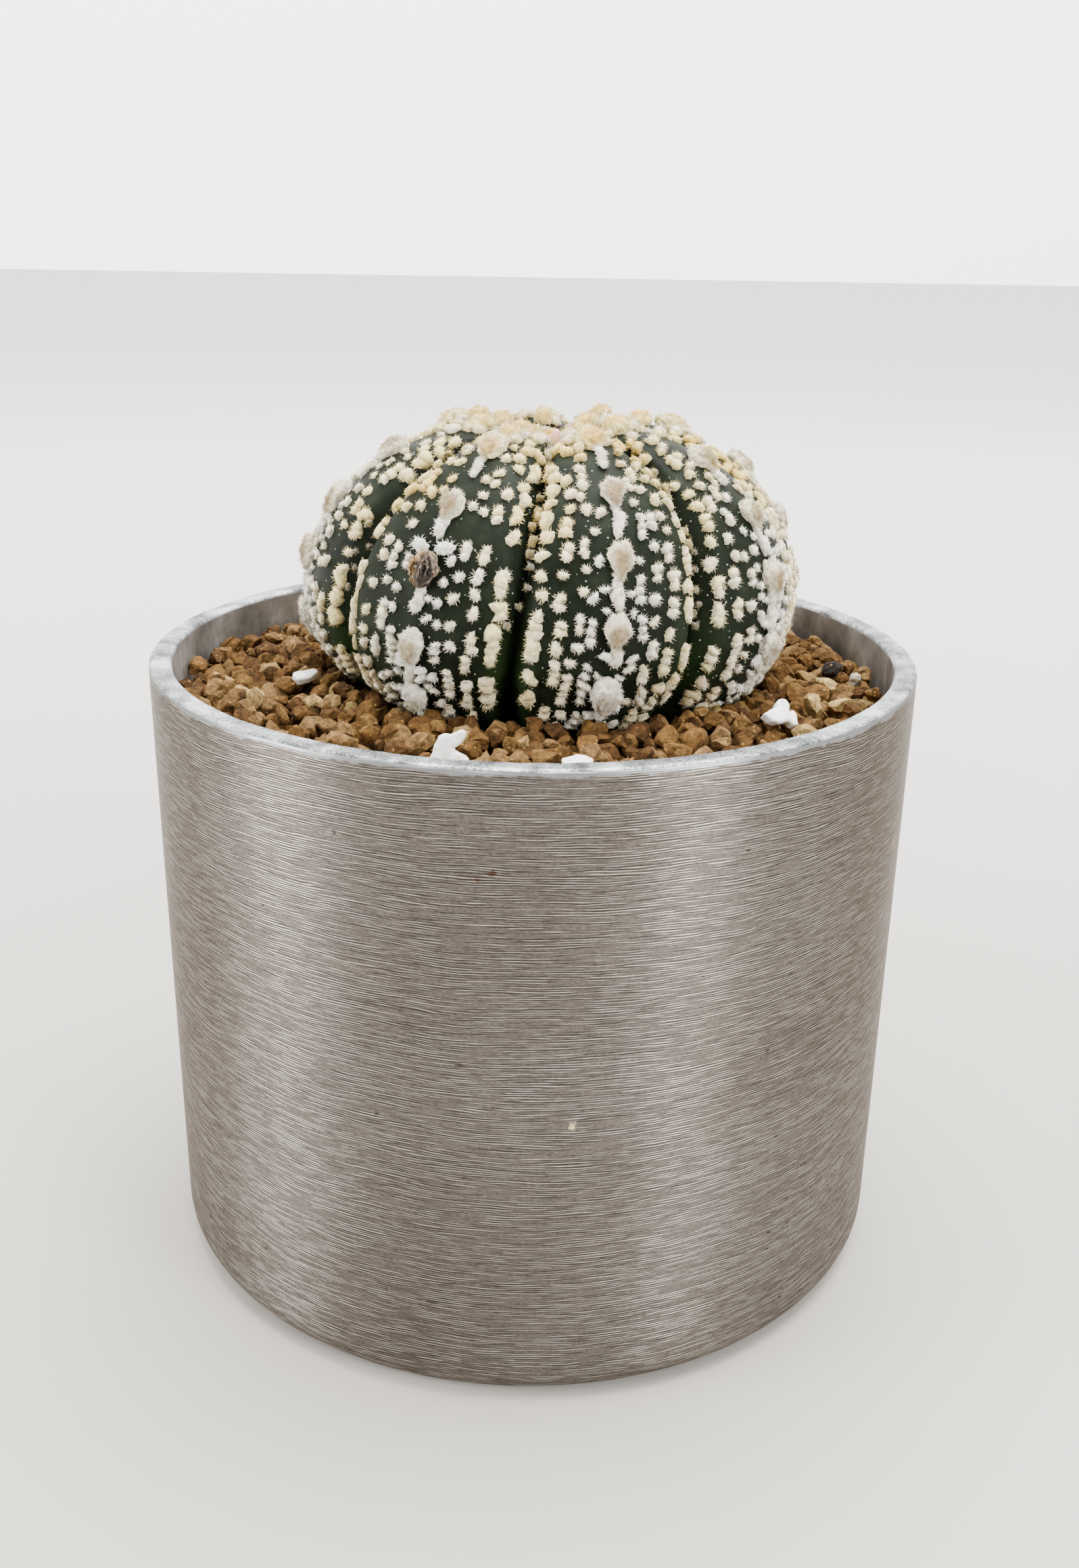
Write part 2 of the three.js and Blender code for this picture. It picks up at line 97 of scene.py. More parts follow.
# White mineral chips, in mm: outline, thickness, middle, turn about Z and lean back from flat. The
# first and third have deeper notches here than as solids, and the first stands 0.7 mm higher.
CHIPS = [
    dict(outline=[(-2.3, -2.4), (2.4, -2.5), (2.6, -0.5), (2.1, 0), (1.3, 0.4), (0.7, 1.0), (1.4, 1.4),
                  (2.0, 2.1), (2.2, 3.0), (1.65, 3.4), (1.0, 3.2), (0.3, 2.6), (-0.35, 2.7), (-1.1, 2.3),
                  (-1.8, 0.9), (-2.3, -0.3)],
         thickness=1.6, place=(-10.3, -40.4, 86.5), turn=0, lean=74),
    dict(outline=[(-1.9, -1.2), (1.5, -1.4), (2.1, 0.6), (0.2, 1.5), (-1.8, 0.9)],
         thickness=1.5, place=(5.6, -42.2, 86.0), turn=12, lean=20),
    dict(outline=[(-2.6, 0.6), (-1.7, -0.5), (-0.8, -1.0), (1.0, -1.1), (1.3, -1.9), (2.1, -2.1),
                  (2.2, -1.1), (2.6, -0.4), (2.5, 0.3), (1.5, 0.2), (2.1, 0.9), (2.0, 1.8), (1.2, 2.2),
                  (0.3, 1.9), (0, 1.2)],
         thickness=1.5, place=(32.6, -24.4, 87.1), turn=34, lean=48),
    dict(outline=[(-2.2, -0.9), (0.2, -1.0), (2.2, -0.1), (1.7, 0.8), (-1.6, 0.6)],
         thickness=1.2, place=(-32.4, -8.2, 87.0), turn=42, lean=22),
]

# ---------------------------------------------------------------- camera and stage

CAMERA_PLACE = Vector((0, -220.6, 149.0)) * MM
CAMERA_DOWN = math.radians(20.12)
CAMERA_YAW = math.radians(0.31)
CAMERA_ROLL = math.radians(0.93)
FOCAL_LENGTH = 2292  # in the image's pixels
IMAGE_HEIGHT = 2319
SENSOR = 36  # mm along the image's long side


def new_object(name, data, place=Matrix()):
    made = bpy.data.objects.new(name, data)
    made.matrix_world = place
    bpy.context.scene.collection.objects.link(made)
    return made


def place_camera():
    """The camera, turned down and aside from looking level along +Y, and rolled about its own view."""
    data = bpy.data.cameras.new("camera")
    data.sensor_width = SENSOR
    data.lens = FOCAL_LENGTH / IMAGE_HEIGHT * SENSOR
    data.clip_start = 0.01
    place = Matrix.Translation(CAMERA_PLACE)
    place @= Matrix.Rotation(-CAMERA_YAW, 4, "Z")
    place @= Matrix.Rotation(math.pi / 2 - CAMERA_DOWN, 4, "X")
    place @= Matrix.Rotation(CAMERA_ROLL, 4, "Z")
    bpy.context.scene.camera = new_object("camera", data, place)


place_camera()

# ---------------------------------------------------------------- materials


def linear(code):
    """sRGB hex to linear RGBA."""
    channels = [int(code[i:i + 2], 16) / 255 for i in (1, 3, 5)]
    return tuple(c / 12.92 if c <= 0.04045 else ((c + 0.055) / 1.055) ** 2.4 for c in channels) + (1.0,)


def tint(code):
    """sRGB hex to a linear colour that can be mixed in the mesh."""
    return Vector(linear(code)[:3])


def add_node(tree, kind, inputs=(), stops=(), out=0, **settings):
    """Adds a node and gives its output out, or the node itself where out is None. Inputs go by name or
    in order, and each is a socket to link from, a hex colour or a constant; stops are a ramp's."""
    node = tree.nodes.new("ShaderNode" + kind)
    for name, value in settings.items():
        setattr(node, name, value)
    for name, value in inputs.items() if isinstance(inputs, dict) else enumerate(inputs):
        if isinstance(value, bpy.types.NodeSocket):
            tree.links.new(value, node.inputs[name])
        else:
            node.inputs[name].default_value = linear(value) if isinstance(value, str) else value
    for i, (position, code) in enumerate(stops):
        ramp = node.color_ramp.elements
        element = ramp[i] if i < len(ramp) else ramp.new(position)
        element.position = position
        element.color = linear(code)
    return node if out is None else node.outputs[out]


def new_material(name, look):
    """A material from its look, which gives the shader's values from Object coordinates."""
    material = bpy.data.materials.new(name)
    material.use_nodes = True
    tree = material.node_tree
    tree.nodes.clear()
    add = partial(add_node, tree)
    shader = add("BsdfPrincipled", look(add, add("TexCoord", out="Object")))
    add("OutputMaterial", {"Surface": shader}, out=None)
    return material


COLOURS = dict(data_type="RGBA", out=2)  # a Mix node set to mix colours: its share is 0, its colours 6 and 7


def mottled(add, place, scale, detail, tones, bump, shader, roughness=0.5):
    """A finish of soft mottling: its scale per metre, its tones from dark to light, the bump's strength
    and depth, and the rest of the shader's values."""
    swell = add("TexNoise", {"Vector": place, "Scale": scale, "Detail": detail, "Roughness": roughness})
    tone = add("ValToRGB", (swell,), stops=tones)
    strength, depth = bump
    normal = add("Bump", {"Strength": strength, "Distance": depth, "Height": swell})
    return {"Base Color": tone, "Normal": normal, **shader}


def shaded(add, colour, height, low, high, painted_shade, painted_light):
    """A colour made darker where a height is low and lighter where it is high: painted shade in the lows and
    painted light on the highs.
    """
    shade = add("MapRange", (height, low, high, painted_shade, painted_light))
    return add("Mix", {0: 1.0, 6: colour, 7: shade}, blend_type="MULTIPLY", **COLOURS)


def specks(add, vector, scale, rarity, size, vary=True):
    """A mask of specks, one in some of a pattern's cells: how seldom, and how large within a cell."""
    cell = add("TexVoronoi", {"Vector": vector, "Scale": scale}, out=None)
    draw = add("SeparateColor", (cell.outputs["Color"],), out=None)
    seldom = add("Math", (draw.outputs[0], rarity), operation="GREATER_THAN")
    if vary:
        size = add("Math", (draw.outputs[1], size), operation="MULTIPLY")
    inside = add("Math", (cell.outputs["Distance"], size), operation="LESS_THAN")
    return add("Math", (seldom, inside), operation="MULTIPLY")


# marks on the pot's side: place (mm), half size along the scratches and across them (mm), colour
POT_MARKS = [
    ((-4.4, -54.7, 77.0), 0.75, 0.5, "#412a18"),
    ((-6.0, -54.6, 76.1), 0.5, 0.35, "#4a301c"),
    ((5.7, -54.4, 42.9), 0.45, 0.75, "#e6d6a4"),
    ((-8.3, -54.1, 51.1), 0.8, 0.3, "#3b3733"),
    ((-23.4, -49.7, 79.9), 0.35, 0.3, "#2e2a27"),
    ((-19.0, -51.3, 42.4), 0.5, 0.3, "#37322e"),
    ((-12.0, -53.1, 15.0), 0.9, 0.35, "#35302c"),
    ((-18.3, -51.3, 15.5), 0.6, 0.4, "#4a443f"),
    ((50.2, -22.1, 68.5), 1.6, 1.9, "#8b7a68"),
]
RIDGES = 19600.0  # the sine of this many radians per metre of height: ridges 0.32 mm apart


# Aluminium, turned on a lathe: a grey metal whose fine scratches run level round the pot, so that
# highlights spread up and down into soft upright bands.
def turned_aluminium(add, place):
    # scratches wander a little up and down
    wander = add("TexNoise", {"Vector": place, "Scale": 45.0, "Detail": 1.0}, out="Color")
    lift = add("VectorMath", (wander, (0, 0, 0.0015)), operation="MULTIPLY")
    waved = add("VectorMath", (place, lift), operation="ADD")
    # the turned ground: short fine grain that lies along the cut
    grain = add("Mapping", {"Vector": waved, "Scale": (1800, 1800, 7000)})
    ground = add("TexNoise", {"Vector": grain, "Scale": 1.0, "Detail": 2.0, "Roughness": 0.6})
    tone = add("ValToRGB", (ground,), stops=[(0.3, "#544f4a"), (0.5, "#655f5a"), (0.7, "#76706b")])
    # scratches: ridges that wander and fork, each with a painted highlight above and a painted shadow
    # below, kept in lengths of 3 to 8 mm and drawn coarser than the real 0.15 mm, so that they show
    rows = add("Mapping", {"Vector": waved, "Scale": (100, 100, 640)})
    drift = add("TexNoise", {"Vector": rows, "Scale": 1.0, "Detail": 2.0})
    shifted = add("Math", (drift, 14.0), operation="MULTIPLY")
    level = add("SeparateXYZ", (waved,), out="Z")
    turns = add("Math", (level, RIDGES, shifted), operation="MULTIPLY_ADD")
    ridge = add("Math", (turns,), operation="SINE")
    lengths = add("Mapping", {"Vector": waved, "Scale": (210, 210, 3400)})
    stretch = add("TexNoise", {"Vector": lengths, "Scale": 1.0, "Detail": 1.0})
    kept = add("MapRange", (stretch, 0.36, 0.6))
    relief = add("Math", (ridge, kept), operation="MULTIPLY")
    # painted shade and painted glint: the dark colour on one side of each ridge and the pale on the other
    painted_shade = add("MapRange", (relief, -0.1, -0.9, 0.0, 0.85))
    painted_glint = add("MapRange", (relief, 0.4, 0.95, 0.0, 0.8))
    cut = add("Mix", {0: painted_shade, 6: tone, 7: "#2c2926"}, **COLOURS)
    scratched = add("Mix", {0: painted_glint, 6: cut, 7: "#d0cac2"}, **COLOURS)
    # the cut is a little duller in broad soft patches
    cloud = add("TexNoise", {"Vector": place, "Scale": 34.0, "Detail": 3.0})
    patch = add("ValToRGB", (cloud,), stops=[(0.36, "#f0eeeb"), (0.64, "#ffffff")])
    dull = add("Mix", {0: 1.0, 6: scratched, 7: patch}, blend_type="MULTIPLY", **COLOURS)
    # pits of the casting that the cut opened: dark, drawn out along the scratches, more on one side
    side, _, height = add("SeparateXYZ", (place,), out=None).outputs
    rarity = add("MapRange", (side, 0.024, 0.044, 0.988, 0.82))
    pitted = add("Mapping", {"Vector": waved, "Scale": (420, 420, 1200)})
    pits = specks(add, pitted, 1.0, rarity, 0.2)
    colour = add("Mix", {0: pits, 6: dull, 7: "#3a3531"}, **COLOURS)
    for spot, long, high, code in POT_MARKS:
        away = add("VectorMath", (place, Vector(spot) * MM), operation="SUBTRACT")
        stretched = Vector((1 / long, 1 / long, 1 / high)) / MM
        shaped = add("VectorMath", (away, stretched), operation="MULTIPLY")
        reach = add("VectorMath", (shaped,), operation="LENGTH", out="Value")
        ragged = add("TexNoise", {"Vector": place, "Scale": 1500.0, "Detail": 3.0})
        edge = add("Math", (ragged, 2.4, reach), operation="MULTIPLY_ADD")
        mark = add("MapRange", (edge, 2.3, 1.6, 0.0, 0.8))
        colour = add("Mix", {0: mark, 6: colour, 7: code}, **COLOURS)
    # under the rim the file has dragged a thin pale burr over the scratches
    torn = add("TexNoise", {"Vector": place, "Scale": 330.0, "Detail": 3.0, "Roughness": 0.7})
    drag = add("MapRange", (torn, 0.42, 0.75, 0.0, 0.6 * MM))
    reached = add("Math", (height, drag), operation="ADD")
    burr = add("MapRange", (reached, 89.15 * MM, 89.4 * MM, 0.0, 0.85))
    return {
        "Base Color": add("Mix", {0: burr, 6: colour, 7: "#8d8f8f"}, **COLOURS),
        "Metallic": 1.0, "Roughness": 0.4, "Specular Tint": "#c2beb9",
        "Anisotropic": 0.8, "Anisotropic Rotation": 0.25,  # a quarter turn spreads light across the cut
        "Tangent": add("Tangent", direction_type="RADIAL", axis="Z"),
        "Normal": add("Bump", {"Strength": 0.6, "Distance": 0.05 * MM, "Height": relief}),
    }


# The same aluminium on the rim, filed flat by hand: paler, duller and evenly rough.
def filed_rim(add, place):
    grain = add("TexNoise", {"Vector": place, "Scale": 2600.0, "Detail": 4.0, "Roughness": 0.7})
    patches = add("TexNoise", {"Vector": place, "Scale": 260.0, "Detail": 3.0})
    both = add("Math", (grain, patches), operation="ADD")
    half = add("Math", (both, 0.5), operation="MULTIPLY")
    tone = add("ValToRGB", (half,), stops=[(0.41, "#4a4d4e"), (0.5, "#868a8b"), (0.59, "#bcc0c1")])
    return {
        "Base Color": tone, "Metallic": 0.9, "Roughness": 0.5,
        "Normal": add("Bump", {"Strength": 0.5, "Distance": 0.15 * MM, "Height": half}),
    }


# The inside wall, as cast and never turned: stained dull brown-grey by wet grit.
def cast_inside(add, place):
    tones = [(0.3, "#57534f"), (0.52, "#827e79"), (0.72, "#b0ada8")]
    return mottled(add, place, 120.0, 5.0, tones, (0.4, 0.2 * MM), {"Metallic": 0.8, "Roughness": 0.55}, 0.6)


# The plant's skin: a waxy grey-green, near black along the bottoms of the grooves as painted shade, with
# tiny pale flecks of wool.
def cactus_skin(add, place):
    cloud = add("TexNoise", {"Vector": place, "Scale": 170.0, "Detail": 4.0, "Roughness": 0.6})
    tone = add("ValToRGB", (cloud,), stops=[(0.3, "#0e120b"), (0.52, "#151a11"), (0.72, "#20261b")])
    # painted shade: near black along the crease at the bottom of each groove
    depth = add("Attribute", attribute_name="groove", out="Fac")
    fresh = add("Attribute", attribute_name="fresh_green", out="Fac")
    greener = add("Mix", {0: fresh, 6: tone, 7: "#1c2914"}, **COLOURS)
    groove_shaded = add("Mix", {0: depth, 6: greener, 7: "#060805"}, **COLOURS)
    # flecks of wool up to 0.25 mm across, in cells of 0.7 mm
    flecks = specks(add, place, 1500.0, 0.6, 0.2)
    faint = add("Math", (flecks, 0.6), operation="MULTIPLY")
    pores = add("TexNoise", {"Vector": place, "Scale": 1500.0, "Detail": 3.0})
    return {
        "Base Color": add("Mix", {0: faint, 6: groove_shaded, 7: "#c9cdbf"}, **COLOURS),
        "Roughness": 0.52, "IOR": 1.4, "Specular IOR Level": 0.07,
        "Normal": add("Bump", {"Strength": 0.25, "Distance": 0.1 * MM, "Height": pores}),
    }


# Matted plant wool: matt fibres that take light softly from every side. Each vertex has its colour.
def plant_wool(add, place):
    colour = add("Attribute", attribute_name="wool_colour")
    # fibres about 0.2 mm apart, matted into locks of 0.7 mm, in the bump and as painted shade between them
    # and painted light on them
    fibre = add("TexNoise", {"Vector": place, "Scale": 4600.0, "Detail": 3.0, "Roughness": 0.75})
    lock = add("TexNoise", {"Vector": place, "Scale": 1500.0, "Detail": 2.0})
    both = add("Math", (fibre, lock), operation="ADD")
    return {
        "Base Color": shaded(add, colour, both, 0.8, 1.16, 0.66, 1.16),
        "Roughness": 0.95, "Specular IOR Level": 0.2, "Sheen Weight": 0.5, "Sheen Roughness": 0.6,
        "Normal": add("Bump", {"Strength": 1.0, "Distance": 0.3 * MM, "Height": both}),
    }


# Akadama: baked volcanic clay, broken and sieved. Matt, crumbly, with fine pale specks.
def baked_clay(add, place):
    colour = add("Attribute", attribute_name="grain_colour")
    # crumbs and pits from 1 mm down to 0.1 mm, in the bump and as painted shade in the pits and painted
    # light on the crumbs
    rough = add("TexNoise", {"Vector": place, "Scale": 850.0, "Detail": 6.0, "Roughness": 0.78})
    pale = specks(add, place, 1700.0, 0.86, 0.28, vary=False)
    faint = add("Math", (pale, 0.55), operation="MULTIPLY")
    pit_shaded = shaded(add, colour, rough, 0.36, 0.64, 0.35, 1.5)
    return {
        "Base Color": add("Mix", {0: faint, 6: pit_shaded, 7: "#c39a5c"}, **COLOURS),
        "Roughness": 0.95, "Specular IOR Level": 0.15,
        "Normal": add("Bump", {"Strength": 1.0, "Distance": 0.9 * MM, "Height": rough}),
    }


# The dried flower: papery, shrivelled tissue, ochre on one side and grey-mauve on the other.
def dried_petals(add, place):
    colour = add("Attribute", attribute_name="petal_colour")
    fibres = add("Mapping", {"Vector": place, "Scale": (3200, 3200, 1000)})
    streak = add("TexNoise", {"Vector": fibres, "Scale": 1.0, "Detail": 4.0, "Roughness": 0.7})
    return {
        "Base Color": shaded(add, colour, streak, 0.38, 0.62, 0.35, 1.4), "Roughness": 0.85,
        "Normal": add("Bump", {"Strength": 0.8, "Distance": 0.25 * MM, "Height": streak}),
    }


# The young bud: soft pink scales with a downy surface.
def pink_scales(add, place):
    tones = [(0.3, "#a96a5c"), (0.55, "#c98f80"), (0.75, "#e3bda9")]
    return mottled(add, place, 900.0, 3.0, tones, (0.4, 0.15 * MM), {"Roughness": 0.75, "Sheen Weight": 0.3})


# White mineral: a chalky chip with a worn face, greyer in its hollows.
def white_mineral(add, place):
    tones = [(0.3, "#c4bcae"), (0.44, "#ebe8e1"), (0.7, "#f8f7f4")]
    return mottled(add, place, 480.0, 5.0, tones, (0.4, 0.3 * MM), {"Roughness": 0.7}, 0.6)


# Polyethylene net, moulded: a dark, slightly waxy plastic, dulled by lime from the water.
def moulded_net(add, place):
    lime = add("TexNoise", {"Vector": place, "Scale": 520.0, "Detail": 4.0})
    tone = add("ValToRGB", (lime,), stops=[(0.35, "#262727"), (0.6, "#333433"), (0.8, "#5a5955")])
    return {"Base Color": tone, "Roughness": 0.6, "IOR": 1.51}


# The floor: a plain matt sweep, pale grey under the part and nearly white further off: painted shade
# near the part, and painted light far from it where the lamps' light falls off.
def pale_floor(add, place):
    away = add("VectorMath", (place,), operation="LENGTH", out="Value")
    return {"Base Color": add("ValToRGB", (away,), stops=[(0.12, "#b2ada6"), (0.8, "#f6f5f4")]),
            "Roughness": 0.9}


# ---------------------------------------------------------------- making pieces


def finished(name, bm, materials):
    """Turns a bmesh into an object with its materials."""
    mesh = bpy.data.meshes.new(name)
    bm.to_mesh(mesh)
    bm.free()
    for material in materials:
        mesh.materials.append(material)
    return new_object(name, mesh)


def new_piece(name, bm, materials, replaced):
    """A piece that rides on the part and stands for a CAD node."""
    piece = finished(name, bm, materials)
    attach(piece, "root")
    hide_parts(replaced)


def new_coloured(attribute):
    """An empty bmesh, and its layer for the colour of each vertex."""
    bm = bmesh.new()
    return bm, bm.verts.layers.float_color.new(attribute)


def shade_smooth(verts):
    for vert in verts:
        for face in vert.link_faces:
            face.smooth = True


def corner(centre, radius, start, end, steps):
    """Points of a quarter round in a profile, from one angle to another."""
    turns = [math.radians(start + (end - start) * i / steps) for i in range(steps + 1)]
    return [(centre[0] + radius * math.cos(turn), centre[1] + radius * math.sin(turn)) for turn in turns]


def spun(profile, steps):
    """A closed profile, spun about +Z into a ring-shaped body."""
    bm = bmesh.new()
    chain = [bm.verts.new((radius, 0, height)) for radius, height in profile]
    edges = [bm.edges.new((a, b)) for a, b in zip(chain, chain[1:] + chain[:1])]
    bmesh.ops.spin(bm, geom=chain + edges, cent=(0, 0, 0), axis=(0, 0, 1), angle=math.tau,
                   steps=steps, use_merge=True)
    bmesh.ops.remove_doubles(bm, verts=bm.verts, dist=1e-7)
    bmesh.ops.recalc_face_normals(bm, faces=bm.faces)
    return bm


def add_stacked(bm, rings, steps):
    """A closed body through level rings of (centre, radius, height), from its bottom to its top."""
    loops = []
    for i, (centre, radius, height) in enumerate(rings):
        ends = i in (0, len(rings) - 1)
        made = bmesh.ops.create_circle(bm, cap_ends=ends, radius=radius, segments=steps)
        bmesh.ops.translate(bm, verts=made["verts"], vec=(centre[0], centre[1], height))
        loops.append(list({edge for vert in made["verts"] for edge in vert.link_edges}))
    for low, high in zip(loops, loops[1:]):
        bmesh.ops.bridge_loops(bm, edges=low + high)
    bmesh.ops.recalc_face_normals(bm, faces=bm.faces)


# ---------------------------------------------------------------- pot

INNER_RIM = RIM_RADIUS - WALL
INNER_FOOT = FOOT_RADIUS - WALL
SIDE_ROWS = 24
NICK_DEPTH = 0.165 * MM
cavity = corner((INNER_FOOT - INNER_FOOT_ROUND, FLOOR + INNER_FOOT_ROUND), INNER_FOOT_ROUND, -90, 0, 8)


def make_pot():
    foot = corner((FOOT_RADIUS - FOOT_ROUND, FOOT_ROUND), FOOT_ROUND, -90, 0, 12)
    rim = corner((RIM_RADIUS - RIM_ROUND, POT_HEIGHT - RIM_ROUND), RIM_ROUND, 0, 90, 5)
    lip = corner((INNER_RIM + RIM_ROUND, POT_HEIGHT - RIM_ROUND), RIM_ROUND, 90, 180, 5)
    low, high = Vector(foot[-1]), Vector(rim[0])
    side = [tuple(low.lerp(high, i / SIDE_ROWS)) for i in range(1, SIDE_ROWS)]
    middle = (INNER_RIM + RIM_RADIUS) / 2
    profile = [(DRAIN_RADIUS, 0), *foot, *side, *rim, (middle, POT_HEIGHT), *lip]
    profile += [*reversed(cavity), (DRAIN_RADIUS, FLOOR)]
    bm = spun(profile, POT_STEPS)
    # the filed rim is a little uneven, and its outer edge is nicked
    for vert in bm.verts:
        if vert.co.z < POT_HEIGHT - 1.2 * RIM_ROUND:
            continue
        wave = noise.noise(vert.co * 90) * 0.12 + noise.noise(vert.co * 420) * 0.1
        vert.co.z -= abs(wave) * MM
        nick = max(0, noise.noise(vert.co * 600 + Vector((3, 1, 7)))) * NICK_DEPTH
        if vert.co.xy.length > middle:
            vert.co.xy *= 1 - nick / RIM_RADIUS
    for face in bm.faces:
        centre = face.calc_center_median()
        radius = centre.xy.length
        filed = INNER_RIM < radius < RIM_RADIUS - 0.25 * RIM_ROUND
        inside = radius < INNER_RIM + 0.1 * MM and centre.z > FLOOR - 0.1 * MM
        if filed and centre.z > POT_HEIGHT - 0.8 * RIM_ROUND:
            face.material_index = 1
        elif inside:
            face.material_index = 2
    shade_smooth(bm.verts)
    finishes = [
        new_material("turned_aluminium", turned_aluminium),
        new_material("filed_aluminium_rim", filed_rim),
        new_material("cast_aluminium_inside", cast_inside),
    ]
    new_piece("pot_shell", bm, finishes, "pot")


# ---------------------------------------------------------------- the plant's form


def body_profile(rise):
    up = math.sin(math.radians(rise))
    out = max(0.0, math.cos(math.radians(rise)))
    if rise < 0:
        return WAIST_RADIUS * out, WAIST_HEIGHT + BASE_DROP * up
    radius = WAIST_RADIUS * out ** (2 / ROUNDNESS)
    dip = CROWN_DIP * math.exp(-((radius / CROWN_DIP_RADIUS) ** 2))
    return radius, WAIST_HEIGHT + CROWN_RISE * up ** (2 / ROUNDNESS) - dip


def profile_step(rise):
    low, high = body_profile(rise - 0.5), body_profile(rise + 0.5)
    return high[0] - low[0], high[1] - low[1]


def profile_speed(rise):
    """Metres along the profile for one degree of rise."""
    return math.hypot(*profile_step(rise))


def profile_normal(rise):
    if abs(rise) > 89:
        return 0.0, math.copysign(1, rise)
    radial, vertical = profile_step(rise)
    length = math.hypot(radial, vertical)
    return vertical / length, -radial / length


def smoothstep(value, low, high):
    share = min(1, max(0, (value - low) / (high - low)))
    return share * share * (3 - 2 * share)


def rib_fall(across, rise):
    """How far the skin lies in from the ribs' crests; across is 0 on a crest and 1 in a groove."""
    to_groove = 1 - abs(across)
    fall = RIB_SWELL * abs(across) ** 2.4
    cut = GROOVE_DEPTH * math.exp(-((to_groove / GROOVE_WIDTH) ** 2))
    crease = CREASE_DEPTH * math.exp(-((to_groove / CREASE_WIDTH) ** 2))
    fade = smoothstep(rise, *RIBS_FADE_BELOW) * min(1, body_profile(rise)[0] / RIBS_FADE_FROM)
    return (fall + cut + crease) * fade


def waist_azimuth(rib, across):
    """A groove lies halfway between its two crests."""
    beside = RIB_CRESTS[(rib + (1 if across > 0 else -1)) % RIBS]
    step = (beside - RIB_CRESTS[rib % RIBS] + 540) % 360 - 180
    return RIB_CRESTS[rib % RIBS] + abs(across) / 2 * step


def skin_point(rib, across, rise, lift=0.0):
    radius, height = body_profile(rise)
    radial, vertical = profile_normal(rise)
    offset = lift - rib_fall(across, rise)
    azimuth = math.radians(waist_azimuth(rib, across) + RIB_TWIST * math.sin(math.radians(rise)))
    reach = max(0.0, radius + radial * offset)
    return PLANT + Vector((
        reach * math.sin(azimuth), -reach * math.cos(azimuth), height + vertical * offset,
    ))


def skin_frame(rib, across, rise, lift=0.0, turn=0.0):
    """A place on the skin, with +Z out of it and +Y up along the rib, then turned about its +Z."""
    ahead = (skin_point(rib, across, rise + 1) - skin_point(rib, across, rise - 1)).normalized()
    side = skin_point(rib, across + 0.02, rise) - skin_point(rib, across - 0.02, rise)
    out = side.cross(ahead).normalized()
    right = ahead.cross(out)
    turned = Matrix((right, ahead, out)).transposed().to_4x4() @ Matrix.Rotation(turn, 4, "Z")
    return Matrix.Translation(skin_point(rib, across, rise, lift)) @ turned


def half_rib(rise):
    return body_profile(rise)[0] * math.pi / RIBS


def areole_rises(rib):
    rises = [FIRST_AREOLES[rib]]
    for step in AREOLE_STEPS:
        rises.append(rises[-1] + step)
    return [rise for rise in rises if rise < HIGHEST_AREOLE]


DRIED_RISE = areole_rises(DRIED_RIB)[DRIED_AREOLE]
SKIN_ROWS = 120
RIB_COLUMNS = 40
ROOT_SIDES = 24


def make_skin():
    bm = bmesh.new()
    bmesh.ops.create_uvsphere(bm, u_segments=RIBS * RIB_COLUMNS, v_segments=SKIN_ROWS, radius=1)
    groove = bm.verts.layers.float.new("groove")
    fresh = bm.verts.layers.float.new("fresh_green")
    for vert in bm.verts:
        rise = math.degrees(math.asin(max(-1, min(1, vert.co.z))))
        turn = math.degrees(math.atan2(vert.co.x, -vert.co.y)) % 360
        if abs(rise) > 89.9:
            vert.co = PLANT + Vector((0, 0, body_profile(math.copysign(90, rise))[1]))
            continue
        place = turn / 360 * RIBS
        rib = math.floor(place + 0.5)
        even = (place - rib) * 2
        # rows of faces crowd towards the grooves
        across = 0.35 * even + 0.65 * math.sin(even * math.pi / 2)
        vert.co = skin_point(rib, across, rise)
        vert.co += vert.co.normalized() * noise.noise(vert.co * 130) * 0.25 * MM
        # the groove attribute is painted shade, near black along the crease at the bottom of each groove and
        # fading out where the ribs grow narrow
        vert[groove] = math.exp(-(((1 - abs(across)) / 0.022) ** 2)) * smoothstep(half_rib(rise), 0, 6 * MM)
        # the lower flanks are the youngest green
        vert[fresh] = smoothstep(abs(across), 0.62, 0.85) * smoothstep(-rise, -14, 12)
    shade_smooth(bm.verts)
    root = [(PLANT, radius * MM, height * MM) for radius, height in ROOT_PROFILE[1:-1]]
    add_stacked(bm, root, ROOT_SIDES)
    skin = new_material("waxy_cactus_skin", cactus_skin)
    new_piece("cactus_body", bm, [skin], "cactus")


# ---------------------------------------------------------------- wool

WOOL_WHITE = tint("#faf5e6")
WOOL_CREAM = tint("#f5e08c")
WOOL_YELLOW = tint("#ecc84a")
WOOL_DUSTY = tint("#cfb37e")
FELT_BEIGE = tint("#e6d49c")
FELT_BROWN = tint("#957a40")
FELT_ORANGE = tint("#e8b438")
CORK = tint("#93803f")


def new_wool():
    return new_coloured("wool_colour")


def add_hair(bm, layer, root, tip, width, colour):
    """A tapering hair of three sides, its root sunk in what carries it."""
    along = (tip - root).normalized()
    side = along.orthogonal().normalized() * (width / 2)
    other = along.cross(side) * 0.87
    ring = [bm.verts.new(root + way) for way in (side, other - side / 2, -other - side / 2)]
    point = bm.verts.new(tip)
    for k in range(3):
        bm.faces.new((ring[k], ring[(k + 1) % 3], point))
    bm.faces.new(ring[::-1])
    for vert in (*ring, point):
        vert[layer] = (*colour, 1)


TUFT_SIDES = 9
TUFT_HAIRS = 36


